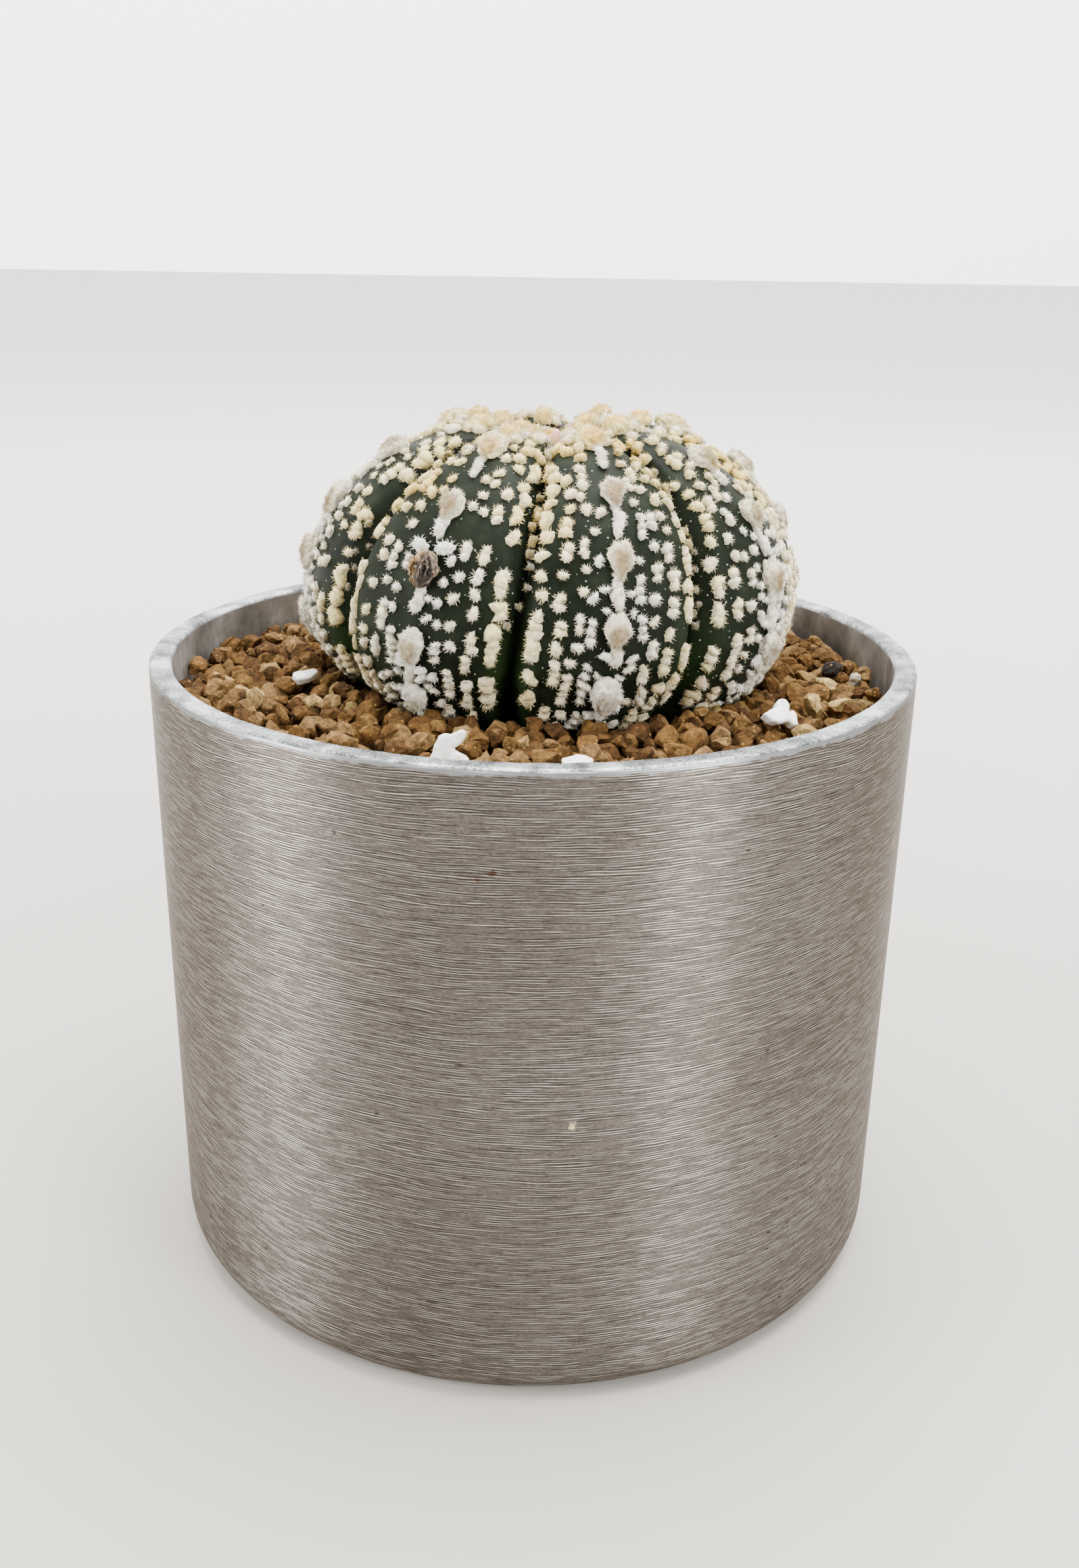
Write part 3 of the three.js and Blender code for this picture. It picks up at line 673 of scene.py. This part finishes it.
def add_tuft(bm, layer, place, width, length, height, colour, draw):
    """A matted tuft: a low lobed dome, and short hairs that lie outwards from it, drawn coarser than
    real wool so that they show. width and length are half sizes."""
    made = bmesh.ops.create_cone(bm, cap_ends=True, cap_tris=True, segments=TUFT_SIDES,
                                 radius1=1, radius2=0.72, depth=1)
    lobes = [(turns, draw.uniform(0.1, 0.65 / turns), draw.uniform(0, math.tau)) for turns in (2, 3)]
    for vert in made["verts"]:
        x, y, z = vert.co
        middle = math.hypot(x, y) < 0.1
        top = z > 0
        turn = math.atan2(y, x)
        lobed = 1.0 + sum(share * math.cos(turns * turn + start) for turns, share, start in lobes)
        ragged = 1.0 if middle else lobed * draw.uniform(0.88, 1.12)
        crowned = 1.0 if middle else draw.uniform(0.6, 0.95)
        raised = height * crowned if top else -0.3 * MM
        vert.co = place @ Vector((x * ragged * width, y * ragged * length, raised))
        # the dome's foot, sunk in the skin, is painted darker as painted shade
        vert[layer] = (*(colour * (draw.uniform(0.94, 1.04) if top else 0.86)), 1)
    shade_smooth(made["verts"])
    for k in range(TUFT_HAIRS):
        turn = (k + draw.random()) * math.tau / TUFT_HAIRS
        rooted = draw.uniform(0.45, 0.85)
        reach = draw.uniform(0.12, 0.48) * MM
        swirl = turn + draw.uniform(-0.35, 0.35)
        out = 0.55 + 0.5 * rooted
        root = Vector((math.cos(turn) * rooted * width, math.sin(turn) * rooted * length, height * 0.4))
        tip = Vector((
            math.cos(swirl) * (width * out + reach),
            math.sin(swirl) * (length * out + reach),
            height * draw.uniform(0.1, 1.0) + 0.4 * MM * (1 - rooted),
        ))
        add_hair(bm, layer, place @ root, place @ tip, draw.uniform(0.08, 0.13) * MM,
                 colour * draw.uniform(0.82, 1.1))


# kinds of felted wool: its short hairs, how finely its surface is divided, and how lumpy it is
CUSHION = dict(hairs=420, hair_length=0.5 * MM, detail=4, lumpiness=0.26)
CROWN_CUSHION = dict(hairs=260, hair_length=0.55 * MM, detail=3, lumpiness=0.3)
CROWN_LUMP = dict(hairs=90, hair_length=0.55 * MM, detail=2, lumpiness=0.4)
STRAND_LUMP = dict(hairs=60, hair_length=0.42 * MM, detail=2, lumpiness=0.5)
SIDE_LUMP = dict(hairs=34, hair_length=0.4 * MM, detail=2, lumpiness=0.45)
BRUSH = dict(hairs=70, hair_length=0.7 * MM, detail=3, lumpiness=0.5)


def add_felt(bm, layer, place, radii, paint, draw, hairs, hair_length, detail, lumpiness, neck=0.0):
    """A cushion of felted wool: a lumpy ovoid with short hairs all over, which a neck draws in and
    down at its lower end. paint gives a colour from the direction within the cushion."""
    made = bmesh.ops.create_icosphere(bm, subdivisions=detail, radius=1)
    shift = Vector([draw.uniform(0, 40) for _ in range(3)])

    def surface(way):
        swell = 1.0
        for share, scale in ((1, 1.7), (0.6, 4), (0.35, 9)):
            swell += lumpiness * share * noise.noise(way * scale + shift)
        drawn = neck * smoothstep(-way.y, 0.1, 0.95)
        return swell * Vector((
            way.x * radii[0] * (1 - 0.5 * drawn), way.y * radii[1] * (1 + 0.4 * drawn), way.z * radii[2],
        ))

    for vert in made["verts"]:
        way = vert.co.normalized()
        vert[layer] = (*paint(way), 1)
        vert.co = place @ surface(way)
    shade_smooth(made["verts"])
    for _ in range(hairs):
        way = Vector((draw.gauss(0, 1), draw.gauss(0, 1), abs(draw.gauss(0, 0.8)))).normalized()
        foot = surface(way)
        lean = Vector((draw.gauss(0, 1), draw.gauss(0, 1), draw.gauss(0, 0.6))) * 0.7
        tip = foot + (way + lean).normalized() * hair_length * draw.uniform(0.5, 1.2)
        add_hair(bm, layer, place @ (foot * 0.94), place @ tip, draw.uniform(0.07, 0.12) * MM,
                 paint(way) * draw.uniform(0.78, 1.14))


def areole_paint(rim, spot, strength, low):
    """Pale felt with a browner spot: straight out of the cushion, or lower in it."""
    towards = Vector((0, -low, 1)).normalized()

    def paint(way):
        return rim.lerp(spot, strength * smoothstep(way.dot(towards), 0.3, 0.92))
    return paint


def flat_paint(colour):
    return lambda way: colour


LOWEST_WOOL = -32  # in rise: the grit covers the rib below it


def add_strand(bm, layer, places, rib, rise, below, draw):
    """A neck and a strand of wool: lumps that overlap down the crest, nearly to the areole below."""
    speed = profile_speed(rise)
    reach = min((rise - below) * speed - 2.0 * MM, draw.uniform(4.2, 7.5) * MM)
    travelled = 1.7 * MM
    wander = 0.0
    while travelled < reach:
        wander += draw.uniform(-0.3, 0.3) * MM
        thick = draw.uniform(0.46, 0.62) if travelled < 2.6 * MM else draw.uniform(0.54, 0.9)
        thick *= 1 - 0.25 * smoothstep(rise, 30, 60)
        at = rise - travelled / speed
        if at < LOWEST_WOOL:
            break
        across = wander / half_rib(at)
        colour = WOOL_WHITE.lerp(FELT_BEIGE, 0.45 * draw.random())
        radii = (thick * MM, thick * draw.uniform(1.2, 1.8) * MM, thick * MM)
        add_felt(bm, layer, skin_frame(rib, across, at, 0.25 * MM), radii, flat_paint(colour), draw,
                 **STRAND_LUMP)
        places.append((skin_point(rib, across, at), 0.7 * MM))
        travelled += draw.uniform(0.7, 1.0) * MM
        # below the waist, lumps of wool lie level beside the strand
        if at < 8 and draw.random() < 0.4:
            side = draw.choice((-1, 1))
            across = (wander + side * draw.uniform(1.3, 1.8) * MM) / half_rib(at)
            lump = skin_frame(rib, across, at, 0.2 * MM, draw.gauss(0, 0.4))
            add_felt(bm, layer, lump, (draw.uniform(0.9, 1.3) * MM, 0.6 * MM, 0.65 * MM),
                     flat_paint(WOOL_WHITE), draw, **SIDE_LUMP)
            places.append((skin_point(rib, across, at), 0.8 * MM))


def make_areoles():
    """Woolly areoles along the crests, whiter low down and yellower near the crown, and their strands."""
    ribs = [new_wool() for _ in range(RIBS)]
    draw = random.Random(31)
    places = []
    for rib, (bm, layer) in enumerate(ribs):
        rises = areole_rises(rib)
        for index, rise in enumerate(rises):
            if rise > CROWN_AREOLES:
                continue
            low = smoothstep(-rise, -12, 16)
            young = smoothstep(rise, 54, 68)
            if not (rib == DRIED_RIB and rise == DRIED_RISE):
                rim = FELT_BEIGE.lerp(WOOL_WHITE, 0.45 + 0.4 * low).lerp(WOOL_CREAM, young)
                spot = FELT_BROWN.lerp(FELT_ORANGE, young)
                width = draw.uniform(1.55, 1.8) * (1 + 0.1 * low + 0.2 * young) * MM
                radii = (width, width * draw.uniform(1.1, 1.35 + 0.2 * low), 1.45 * MM)
                paint = areole_paint(rim, spot, 0.95 - 0.3 * low, draw.uniform(0, 0.7))
                neck = draw.uniform(0.6, 1.0) * (1 - young)
                add_felt(bm, layer, skin_frame(rib, 0, rise, 0.6 * MM), radii, paint, draw, **CUSHION,
                         neck=neck)
            places.append((skin_point(rib, 0, rise), 1.9 * MM))
            below = rises[index - 1] if index else rise - 9 * MM / profile_speed(rise)
            add_strand(bm, layer, places, rib, rise, below, draw)
    # two brushes of loose white wool stand out beside the dried flower's areole
    bm, layer = ribs[DRIED_RIB]
    for across in (-0.14, 0.14):
        brush = skin_frame(DRIED_RIB, across, DRIED_RISE + 7, 0.3 * MM, across * 3)
        add_felt(bm, layer, brush, (1.2 * MM, 0.8 * MM, 0.7 * MM), flat_paint(WOOL_WHITE), draw, **BRUSH)
        places.append((skin_point(DRIED_RIB, across, DRIED_RISE + 7), 1.3 * MM))
    return [bm for bm, _ in ribs], places


# loose wool on the crown: place across the rib, and rise
CROWN_FILL = [(0.0, 76), (0.0, 82), (0.5, 84), (0.5, 79), (-0.5, 76), (0.55, 72), (-0.55, 69),
              (0.95, 82), (0.95, 77), (0.95, 72), (0.3, 71), (-0.3, 73), (0.3, 66), (-0.3, 64)]


def make_crown_wool(places):
    """Areoles crowd round the growing point, where the wool is still cream and orange."""
    bm, layer = new_wool()
    draw = random.Random(47)
    for rib in range(RIBS):
        for rise in areole_rises(rib):
            if rise <= CROWN_AREOLES:
                continue
            rim = WOOL_CREAM.lerp(FELT_ORANGE, draw.uniform(0, 0.4))
            spot = WOOL_CREAM.lerp(FELT_ORANGE, draw.uniform(0.6, 1.0))
            width = draw.uniform(1.2, 1.7) * MM
            radii = (width, width * draw.uniform(0.9, 1.1), 1.4 * MM)
            place = skin_frame(rib, draw.uniform(-0.1, 0.1), rise, 0.5 * MM)
            add_felt(bm, layer, place, radii, areole_paint(rim, spot, 0.95, 0), draw, **CROWN_CUSHION)
            places.append((skin_point(rib, 0, rise), 1.4 * MM))
    # loose cream wool covers the ground between them
    for rib in range(RIBS):
        for across, rise in CROWN_FILL:
            across += draw.uniform(-0.1, 0.1)
            rise += draw.uniform(-1.5, 1.5)
            width = draw.uniform(0.75, 1.15) * MM
            colour = WOOL_WHITE.lerp(WOOL_CREAM, draw.uniform(0, 0.8)).lerp(WOOL_YELLOW, 0.3 * draw.random())
            add_felt(bm, layer, skin_frame(rib, across, rise, 0.2 * MM), (width, width, 0.75 * MM),
                     flat_paint(colour), draw, **CROWN_LUMP)
            places.append((skin_point(rib, across, rise), 0.8 * MM))
    return bm


# lanes of tufts beside a crest: across the rib, lowest and highest rise, half width in mm, share of
# tufts that join the next in a chain below the waist, and whether they lie level, off the crest
LANES = [
    (0.13, -34, 30, 0.56, 0.3, True),
    (0.24, -34, 50, 0.66, 0.45, False),
    (0.38, -34, 66, 0.78, 0.7, False),
    (0.57, -32, 70, 0.87, 0.65, False),
    (0.79, -27, 69, 1.08, 0.82, False),
]


def tuft_colour(lane, rise, here, draw):
    """White near the crest, cream by the groove and dusty low down, with yellow patches near the top."""
    share = lane / (len(LANES) - 1)
    cream = 0.8 * share - 0.1 + 0.4 * smoothstep(rise, 25, 60) + draw.uniform(-0.2, 0.2)
    colour = WOOL_WHITE.lerp(WOOL_CREAM, min(1, max(0, cream)))
    patch = smoothstep(noise.noise(here * 95), -0.05, 0.4)
    colour = colour.lerp(WOOL_YELLOW, patch * (0.25 * share + 0.7 * smoothstep(rise, 22, 48)))
    return colour.lerp(WOOL_DUSTY, smoothstep(-rise, -6, 26) * draw.uniform(0.1, 0.75))


class Crowd:
    """Places that keep clear of each other, sorted into cells so that only neighbours are tried."""

    def __init__(self, cell):
        self.cell = cell
        self.cells = {}

    def key(self, place):
        return tuple(math.floor(c / self.cell) for c in place)

    def add(self, places):
        for place, radius in places:
            self.cells.setdefault(self.key(place), []).append((place, radius))

    def clear(self, place, radius):
        near = product(*[(k - 1, k, k + 1) for k in self.key(place)])
        return all((place - other).length >= size + radius
                   for key in near for other, size in self.cells.get(key, ()))


def make_tufts(taken):
    """Tufts in chains beside the crests, seeded, clear of the areoles and of each other."""
    draw = random.Random(11)
    ribs = [new_wool() for _ in range(RIBS)]
    crowd = Crowd(4 * MM)
    crowd.add(taken)
    crowd.add([(skin_point(DRIED_RIB, 0, DRIED_RISE), 2.2 * MM)])
    for rib, (bm, layer) in enumerate(ribs):
        for lane, (offset, lowest, highest, half_width, joining, level) in enumerate(LANES):
            for side in (-1, 1):
                rise = highest - draw.uniform(0, 6)
                chain = []
                longest = draw.randint(3, 8)
                wander = 0.0
                while rise > lowest:
                    low = smoothstep(-rise, -24, -4)
                    joined = joining * (0.3 + 0.7 * low)
                    sparse = draw.random() < 0.13 + (0.22 * smoothstep(rise, 8, 22) if lane < 2 else 0)
                    wander += draw.uniform(-0.2, 0.2) * MM
                    width = half_width * draw.uniform(0.72, 1.1) * MM
                    across = side * offset + wander / half_rib(rise)
                    here = skin_point(rib, across, rise)
                    if not sparse and abs(across) < 0.94 and crowd.clear(here, 0.88 * width):
                        length = width * draw.uniform(0.75, 1.3)
                        swing = draw.gauss(0, 0.35)
                        if level or (lane == 1 and rise < 2):
                            swing += side * 0.35
                            width, length = width * draw.uniform(1.1, 1.6), width * 0.8
                        add_tuft(bm, layer, skin_frame(rib, across, rise, 0, swing), width, length,
                                 draw.uniform(0.5, 0.95) * MM, tuft_colour(lane, rise, here, draw), draw)
                        chain.append((here, 0.74 * min(width, length)))
                    if draw.random() < joined and len(chain) < longest:
                        pitch = draw.uniform(0.95, 1.35)
                    else:
                        crowd.add(chain)
                        chain = []
                        longest = draw.randint(2, 8)
                        pitch = draw.uniform(2.0, 3.0)
                        wander = draw.uniform(-0.5, 0.5) * MM
                    rise -= pitch * MM / profile_speed(rise)
                crowd.add(chain)
    return [bm for bm, _ in ribs]


def make_groove_wool():
    """Corky yellow crumbs of wool in the upper grooves, where two ribs meet."""
    bm, layer = new_wool()
    draw = random.Random(23)
    for rib in range(RIBS):
        rise = 62 - draw.uniform(0, 3)
        while rise > 4:
            across = 1 + draw.uniform(-0.1, 0.1)
            width = draw.uniform(0.4, 0.72) * MM
            colour = WOOL_YELLOW.lerp(CORK, draw.uniform(0.35, 1.0))
            if rise < 28:
                colour = CORK * draw.uniform(0.5, 0.8)
                width *= 0.6
            place = skin_frame(rib, across, rise, 1.3 * MM)
            add_tuft(bm, layer, place, width, width * 1.2, 0.7 * MM, colour, draw)
            rise -= draw.uniform(1.2, 3.2) * MM / profile_speed(rise)
    return bm


def make_plant():
    make_skin()
    wool = new_material("matted_plant_wool", plant_wool)
    areoles, taken = make_areoles()
    crown = make_crown_wool(taken)
    tufts = make_tufts(taken)
    for rib in range(RIBS):
        new_piece(f"areole_wool_{rib + 1}", areoles[rib], [wool], "cactus")
        new_piece(f"wool_tufts_{rib + 1}", tufts[rib], [wool], "cactus")
    new_piece("crown_wool", crown, [wool], "cactus")
    new_piece("groove_wool", make_groove_wool(), [wool], "cactus")


# ---------------------------------------------------------------- buds

FLOWER_HALF = Vector((1.62, 2.3, 1.7)) * MM  # half sizes: across the rib, up along it and out of it
BUD_HALF_WIDTH = 1.2 * MM
BUD_HALF_HEIGHT = 2.1 * MM
SCALES_ROUND = 5  # scales in each turn of the bud


def make_dried_bud():
    """A shrivelled flower: a lump with deep folds down it, and a pale torn rim at its top."""
    bm, layer = new_coloured("petal_colour")
    made = bmesh.ops.create_icosphere(bm, subdivisions=6, radius=1)
    place = skin_frame(DRIED_RIB, 0, DRIED_RISE, 1.1 * MM)
    ochre = tint("#785826")
    mauve = tint("#51443a")
    pale = tint("#cdb38c")
    painted_shade = tint("#22170f")
    for vert in made["verts"]:
        way = vert.co.normalized()
        turn = math.atan2(way.x, way.z)
        bend = turn + 0.7 * noise.noise(way * 1.8) + 0.25 * way.y
        flank = 1 - way.y ** 4
        around = Vector((math.sin(bend), 0.3 * way.y, math.cos(bend)))
        ridge = 0.9 - 3.6 * abs(noise.noise(around * 2.6))
        fold = ridge + noise.noise(around * 7) * 0.8
        swell = 1 + 0.18 * fold * flank + 0.2 * noise.noise(way * 5)
        slant = 1 + 0.2 * way.y * way.x
        top = 1 + 0.5 * smoothstep(way.y, 0.1, 0.8) * noise.noise(around * 4.5)
        vert.co = place @ (FLOWER_HALF * way * Vector((swell * slant, top, swell)))
        colour = ochre.lerp(mauve, smoothstep(way.x + 0.3 * noise.noise(way * 3), -0.3, 0.35))
        # painted shade in the folds and painted light on their ridges; the pale torn rim at the top is its
        # own colour
        colour = colour.lerp(painted_shade, smoothstep(-fold, -0.5, 0.3) * 0.9)
        colour = colour.lerp(pale, smoothstep(fold, 0.6, 1.1) * 0.4 + smoothstep(way.y, 0.75, 0.98) * 0.35)
        vert[layer] = (*colour, 1)
    shade_smooth(bm.verts)
    paper = new_material("dried_petal_paper", dried_petals)
    new_piece("dried_flower", bm, [paper], "dried_bud")


def make_crown_bud():
    """A bud wrapped in pink scales, in two turns that overlap towards a point."""
    bm = bmesh.new()
    made = bmesh.ops.create_uvsphere(bm, u_segments=40, v_segments=28, radius=1)
    for vert in made["verts"]:
        way = vert.co.normalized()
        turn = math.atan2(way.x, way.y)
        upper = way.z > 0.25
        lobes = 0.5 + 0.5 * math.cos(SCALES_ROUND * turn + (math.pi if upper else 0))
        wide = (0.93 if upper else 1.0) + 0.1 * lobes * (1 - abs(way.z))
        wide *= BUD_HALF_WIDTH
        tall = BUD_HALF_HEIGHT * (1 + 0.1 * max(0, way.z) ** 4)
        vert.co = PLANT + Vector((way.x * wide, way.y * wide, CROWN_BUD_HEIGHT + way.z * tall))
    shade_smooth(bm.verts)
    scales = new_material("downy_pink_bud", pink_scales)
    new_piece("pink_bud", bm, [scales], "crown_bud")


# ---------------------------------------------------------------- grit

HEAP_RADIUS = 30 * MM  # the grit is highest from here inwards
INNERMOST_GRAIN = 24 / 51.5  # as a share of the bed's radius


def plant_reach(height):
    """The plant's radius at a height of its buried half."""
    drop = (WAIST_HEIGHT - height) / BASE_DROP
    return WAIST_RADIUS * math.sqrt(max(0, 1 - drop * drop))


def grit_height(x, y):
    """Middle height of the top layer of grains: heaped a little against the plant."""
    radius = math.hypot(x - PLANT.x * 0.7, y - PLANT.y * 0.7)
    share = min(1, max(0, (INNER_RIM - radius) / (INNER_RIM - HEAP_RADIUS)))
    return GRIT_AT_WALL + (GRIT_AT_PLANT - GRIT_AT_WALL) * share


CLAY = [tint(code) for code in ("#6e4f28", "#614422", "#775931", "#543a1e", "#83653d")]
CLAY_TAN = tint("#b39660")
CLAY_PALE = tint("#ded3c0")
BARK = tint("#2a2420")
PAINTED_GAP_SHADE = tint("#4a331f")

FLATS = 7  # flat faces knapped off each grain
KNAPPED = math.radians(17)  # an edge turned by more than this between two faces stays crisp


def add_grain(bm, layer, centre, size, colour, draw):
    """A broken crumb: a lump with a few flat faces knapped off it."""
    made = bmesh.ops.create_icosphere(bm, subdivisions=2, radius=1)
    shift = Vector([draw.uniform(0, 90) for _ in range(3)])
    flats = []
    for _ in range(FLATS):
        way = Vector([draw.gauss(0, 1) for _ in range(3)]).normalized()
        flats.append((way, draw.uniform(0.48, 0.8)))
    radii = Vector((draw.uniform(0.95, 1.2), draw.uniform(0.8, 1.02), draw.uniform(0.7, 0.95))) * size
    turn = Matrix.Rotation(draw.uniform(0, math.tau), 3, "Z")
    turn @= Matrix.Rotation(draw.uniform(-0.6, 0.6), 3, "X")
    for vert in made["verts"]:
        way = vert.co.normalized()
        lumps = noise.noise(way * 1.6 + shift) + noise.noise(way * 4.3 + shift)
        point = way * (1.08 + 0.36 * lumps)
        for normal, limit in flats:
            over = point.dot(normal) - limit
            if over > 0:
                point -= normal * over * 0.92
        point *= 1 + 0.24 * noise.noise(way * 9 + shift)
        vert.co = centre + turn @ (point * radii)
        vert[layer] = (*(colour * (1 + 0.3 * noise.noise(way * 2 + shift))), 1)
    shade_smooth(made["verts"])
    for vert in made["verts"]:
        for edge in vert.link_edges:
            if edge.calc_face_angle(0) > KNAPPED:
                edge.smooth = False


def scatter(drop, small, large, darts, spacing, draw):
    """Grains of a layer, thrown at random and kept where they hardly cross: (centre, half size)."""
    kept = []
    crowd = Crowd(2 * large * MM)
    for _ in range(darts):
        angle = draw.uniform(0, math.tau)
        radius = math.sqrt(draw.uniform(INNERMOST_GRAIN ** 2, 1)) * (INNER_RIM - GAP)
        size = draw.uniform(small, large) * MM
        x, y = radius * math.sin(angle), -radius * math.cos(angle)
        z = grit_height(x, y) - drop * MM + draw.uniform(-0.6, 0.6) * MM
        if radius + size * 1.02 > INNER_RIM - 0.1 * MM:
            continue
        from_plant = math.hypot(x - PLANT.x, y - PLANT.y)
        if from_plant < plant_reach(z + 0.3 * size) + size * 0.72:
            continue
        centre = Vector((x, y, z))
        if crowd.clear(centre, spacing * size):
            crowd.add([(centre, spacing * size)])
            kept.append((centre, size))
    return kept


# single bits in the grit: place and half size in mm, and colour
BITS = [
    ((-37.5, -17.5, 86.6), 1.7, CLAY_TAN), ((42.6, -15.8, 86.2), 1.6, CLAY_TAN),
    ((38.4, -18.5, 86.7), 1.9, CLAY_TAN), ((41.9, -7.0, 86.6), 1.6, CLAY_TAN),
    ((47.1, -2.2, 86.0), 1.1, CLAY_PALE), ((44.0, -1.3, 86.7), 1.7, BARK),
]

# layers of loose grains, lowest first: how far under the grit's height, smallest and largest half
# size (mm), tries, and how near two grains may come as a share of their half sizes
LAYERS = [(2.4, 1.6, 2.3, 6000, 0.74), (0.2, 1.3, 2.5, 16000, 0.75), (-0.9, 1.1, 1.9, 900, 0.85)]
TOP_LAYER = 2.6 * MM  # the solid bed stops this far under the middle of the top grains
BED_SIDES = 120
SECTORS = 12  # the loose grains are one piece for each twelfth of the bed


def make_grit():
    clay = new_material("baked_clay_grit", baked_clay)
    draw = random.Random(5)
    # the body of the bed, which the loose grains lie on
    middle = Vector()
    bed, layer = new_coloured("grain_colour")
    add_stacked(bed, [
        (middle, SCREEN_RADIUS + GAP, FLOOR + GAP + SCREEN_THICKNESS + GAP),
        (middle, SCREEN_RADIUS + GAP, FLOOR + GAP),
        *[(middle, radius - GAP, height + GAP) for radius, height in cavity],
        (middle, INNER_RIM - GAP, GRIT_AT_WALL - TOP_LAYER),
        (PLANT, plant_reach(GRIT_AT_PLANT - TOP_LAYER) + GAP, GRIT_AT_PLANT - TOP_LAYER),
        *[(PLANT, plant_reach(z * MM) + GAP, z * MM) for z in (81.5, 79.5, 78)],
        *[(PLANT, radius * MM + GAP, (height - 1) * MM) for radius, height in reversed(ROOT_PROFILE[1:4])],
    ], BED_SIDES)
    # the bed is painted a dark clay as painted shade, for the gaps between the loose grains
    for vert in bed.verts:
        vert[layer] = (*PAINTED_GAP_SHADE, 1)
    new_piece("grit_bed", bed, [clay], "soil")

    sectors = [new_coloured("grain_colour") for _ in range(SECTORS)]

    def sector(place):
        turn = math.atan2(place.x, place.y) / math.tau + 0.5
        return sectors[int(turn * SECTORS) % SECTORS]

    keep_clear = [Vector(chip["place"]) * MM for chip in CHIPS]
    for number, rule in enumerate(LAYERS):
        for centre, size in scatter(*rule, draw):
            # above the lowest layer, grains leave room for the chips
            if number > 0 and any((centre - p).length < size + 1.6 * MM for p in keep_clear):
                continue
            colour = draw.choice(CLAY) * draw.uniform(0.88, 1.12)
            if draw.random() < 0.03:
                colour = colour.lerp(CLAY_TAN, 0.7)
            add_grain(*sector(centre), centre, size, colour, draw)
    for place, size, colour in BITS:
        add_grain(*sector(Vector(place)), Vector(place) * MM, size * MM, colour, draw)
    for index, (bm, _) in enumerate(sectors):
        new_piece(f"grit_grains_{index + 1}", bm, [clay], "soil")


WORN_EDGE = 0.25 * MM
LONGEST_EDGE = 0.5 * MM  # longer edges are divided, so that the chip's faces can be uneven


def make_chip(index, chip, material):
    """A chip: its outline made thick, its edges worn round and its faces uneven."""
    bm = bmesh.new()
    half = chip["thickness"] / 2
    outline = [bm.verts.new((x * MM, y * MM, -half * MM)) for x, y in chip["outline"]]
    face = bm.faces.new(outline)
    raised = bmesh.ops.extrude_face_region(bm, geom=[face])
    upper = [g for g in raised["geom"] if isinstance(g, bmesh.types.BMVert)]
    bmesh.ops.translate(bm, verts=upper, vec=(0, 0, chip["thickness"] * MM))
    bmesh.ops.recalc_face_normals(bm, faces=bm.faces)
    bmesh.ops.bevel(bm, geom=bm.edges[:], offset=WORN_EDGE, affect="EDGES", segments=2, profile=0.5,
                    material=-1, clamp_overlap=True)
    bmesh.ops.triangulate(bm, faces=[f for f in bm.faces if len(f.verts) > 4])
    bmesh.ops.subdivide_edges(bm, edges=[e for e in bm.edges if e.calc_length() > LONGEST_EDGE], cuts=3,
                              use_grid_fill=True)
    bmesh.ops.triangulate(bm, faces=[f for f in bm.faces if len(f.verts) > 4])
    bmesh.ops.smooth_vert(bm, verts=bm.verts, factor=0.15, use_axis_x=True, use_axis_y=True, use_axis_z=True)
    shift = Vector((index * 7.0, 3.0, 1.0))
    for vert in bm.verts:
        rough = noise.noise(vert.co * 420 + shift) * 0.35 + noise.noise(vert.co * 1300 + shift) * 0.16
        vert.co += vert.co.normalized() * rough * MM
    place = Matrix.Translation(Vector(chip["place"]) * MM)
    place @= Matrix.Rotation(math.radians(chip["turn"]), 4, "Z")
    place @= Matrix.Rotation(math.radians(chip["lean"]), 4, "X")
    bmesh.ops.transform(bm, verts=bm.verts, matrix=place)
    shade_smooth(bm.verts)
    new_piece(f"worn_chip_{index + 1}", bm, [material], f"white_chip_{index + 1}")


# ---------------------------------------------------------------- stage


def make_stage():
    bm = bmesh.new()
    bmesh.ops.create_grid(bm, x_segments=8, y_segments=8, size=4)
    floor = finished("floor", bm, [new_material("pale_floor_sweep", pale_floor)])

    world = bpy.data.worlds.new("studio")
    world.use_nodes = True
    add = partial(add_node, world.node_tree)
    # the studio is brighter overhead and behind the part than in front of it
    way = add("TexCoord", out="Generated")
    along = add("VectorMath", (way, (-0.12, 0.55, 0.82)), out="Value", operation="DOT_PRODUCT")
    strength = add("MapRange", (along, -0.25, 0.65, 0.26, 3.25))
    # a bright wall stands behind the part
    behind = add("VectorMath", (way, (0.0, 1.0, 0.0)), out="Value", operation="DOT_PRODUCT")
    wall = add("MapRange", (behind, 0.6, 0.9, 0.0, 2.4))
    both = add("Math", (strength, wall), operation="ADD")
    background = world.node_tree.nodes["Background"]
    background.inputs["Color"].default_value = linear("#f1f0ee")
    world.node_tree.links.new(both, background.inputs["Strength"])
    bpy.context.scene.world = world

    # soft boxes: size in metres, power in watts, place, and the point that they face
    for name, size, power, place, target in (
        ("left", 0.4, 11.5, Vector((-0.85, -0.25, 0.35)), Vector((0, 0, 0.05))),
        ("right", 0.3, 10.0, Vector((0.62, -0.6, 0.4)), Vector((0, 0, 0.05))),
        ("top", 0.7, 27.0, Vector((0.1, 0.1, 0.9)), Vector((0, 0, 0.1))),
    ):
        data = bpy.data.lights.new(name, "AREA")
        data.shape = "SQUARE"
        data.size = size
        data.energy = power
        turned = (target - place).to_track_quat("-Z", "Y").to_matrix().to_4x4()
        new_object(name, data, Matrix.Translation(place) @ turned)


# ---------------------------------------------------------------- the object

make_stage()
make_pot()
make_grit()
make_plant()
make_dried_bud()
make_crown_bud()
mineral = new_material("chalky_white_mineral", white_mineral)
for index, chip in enumerate(CHIPS):
    make_chip(index, chip, mineral)

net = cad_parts["drain_screen"]
net.data.materials.clear()
net.data.materials.append(new_material("moulded_polyethylene_net", moulded_net))
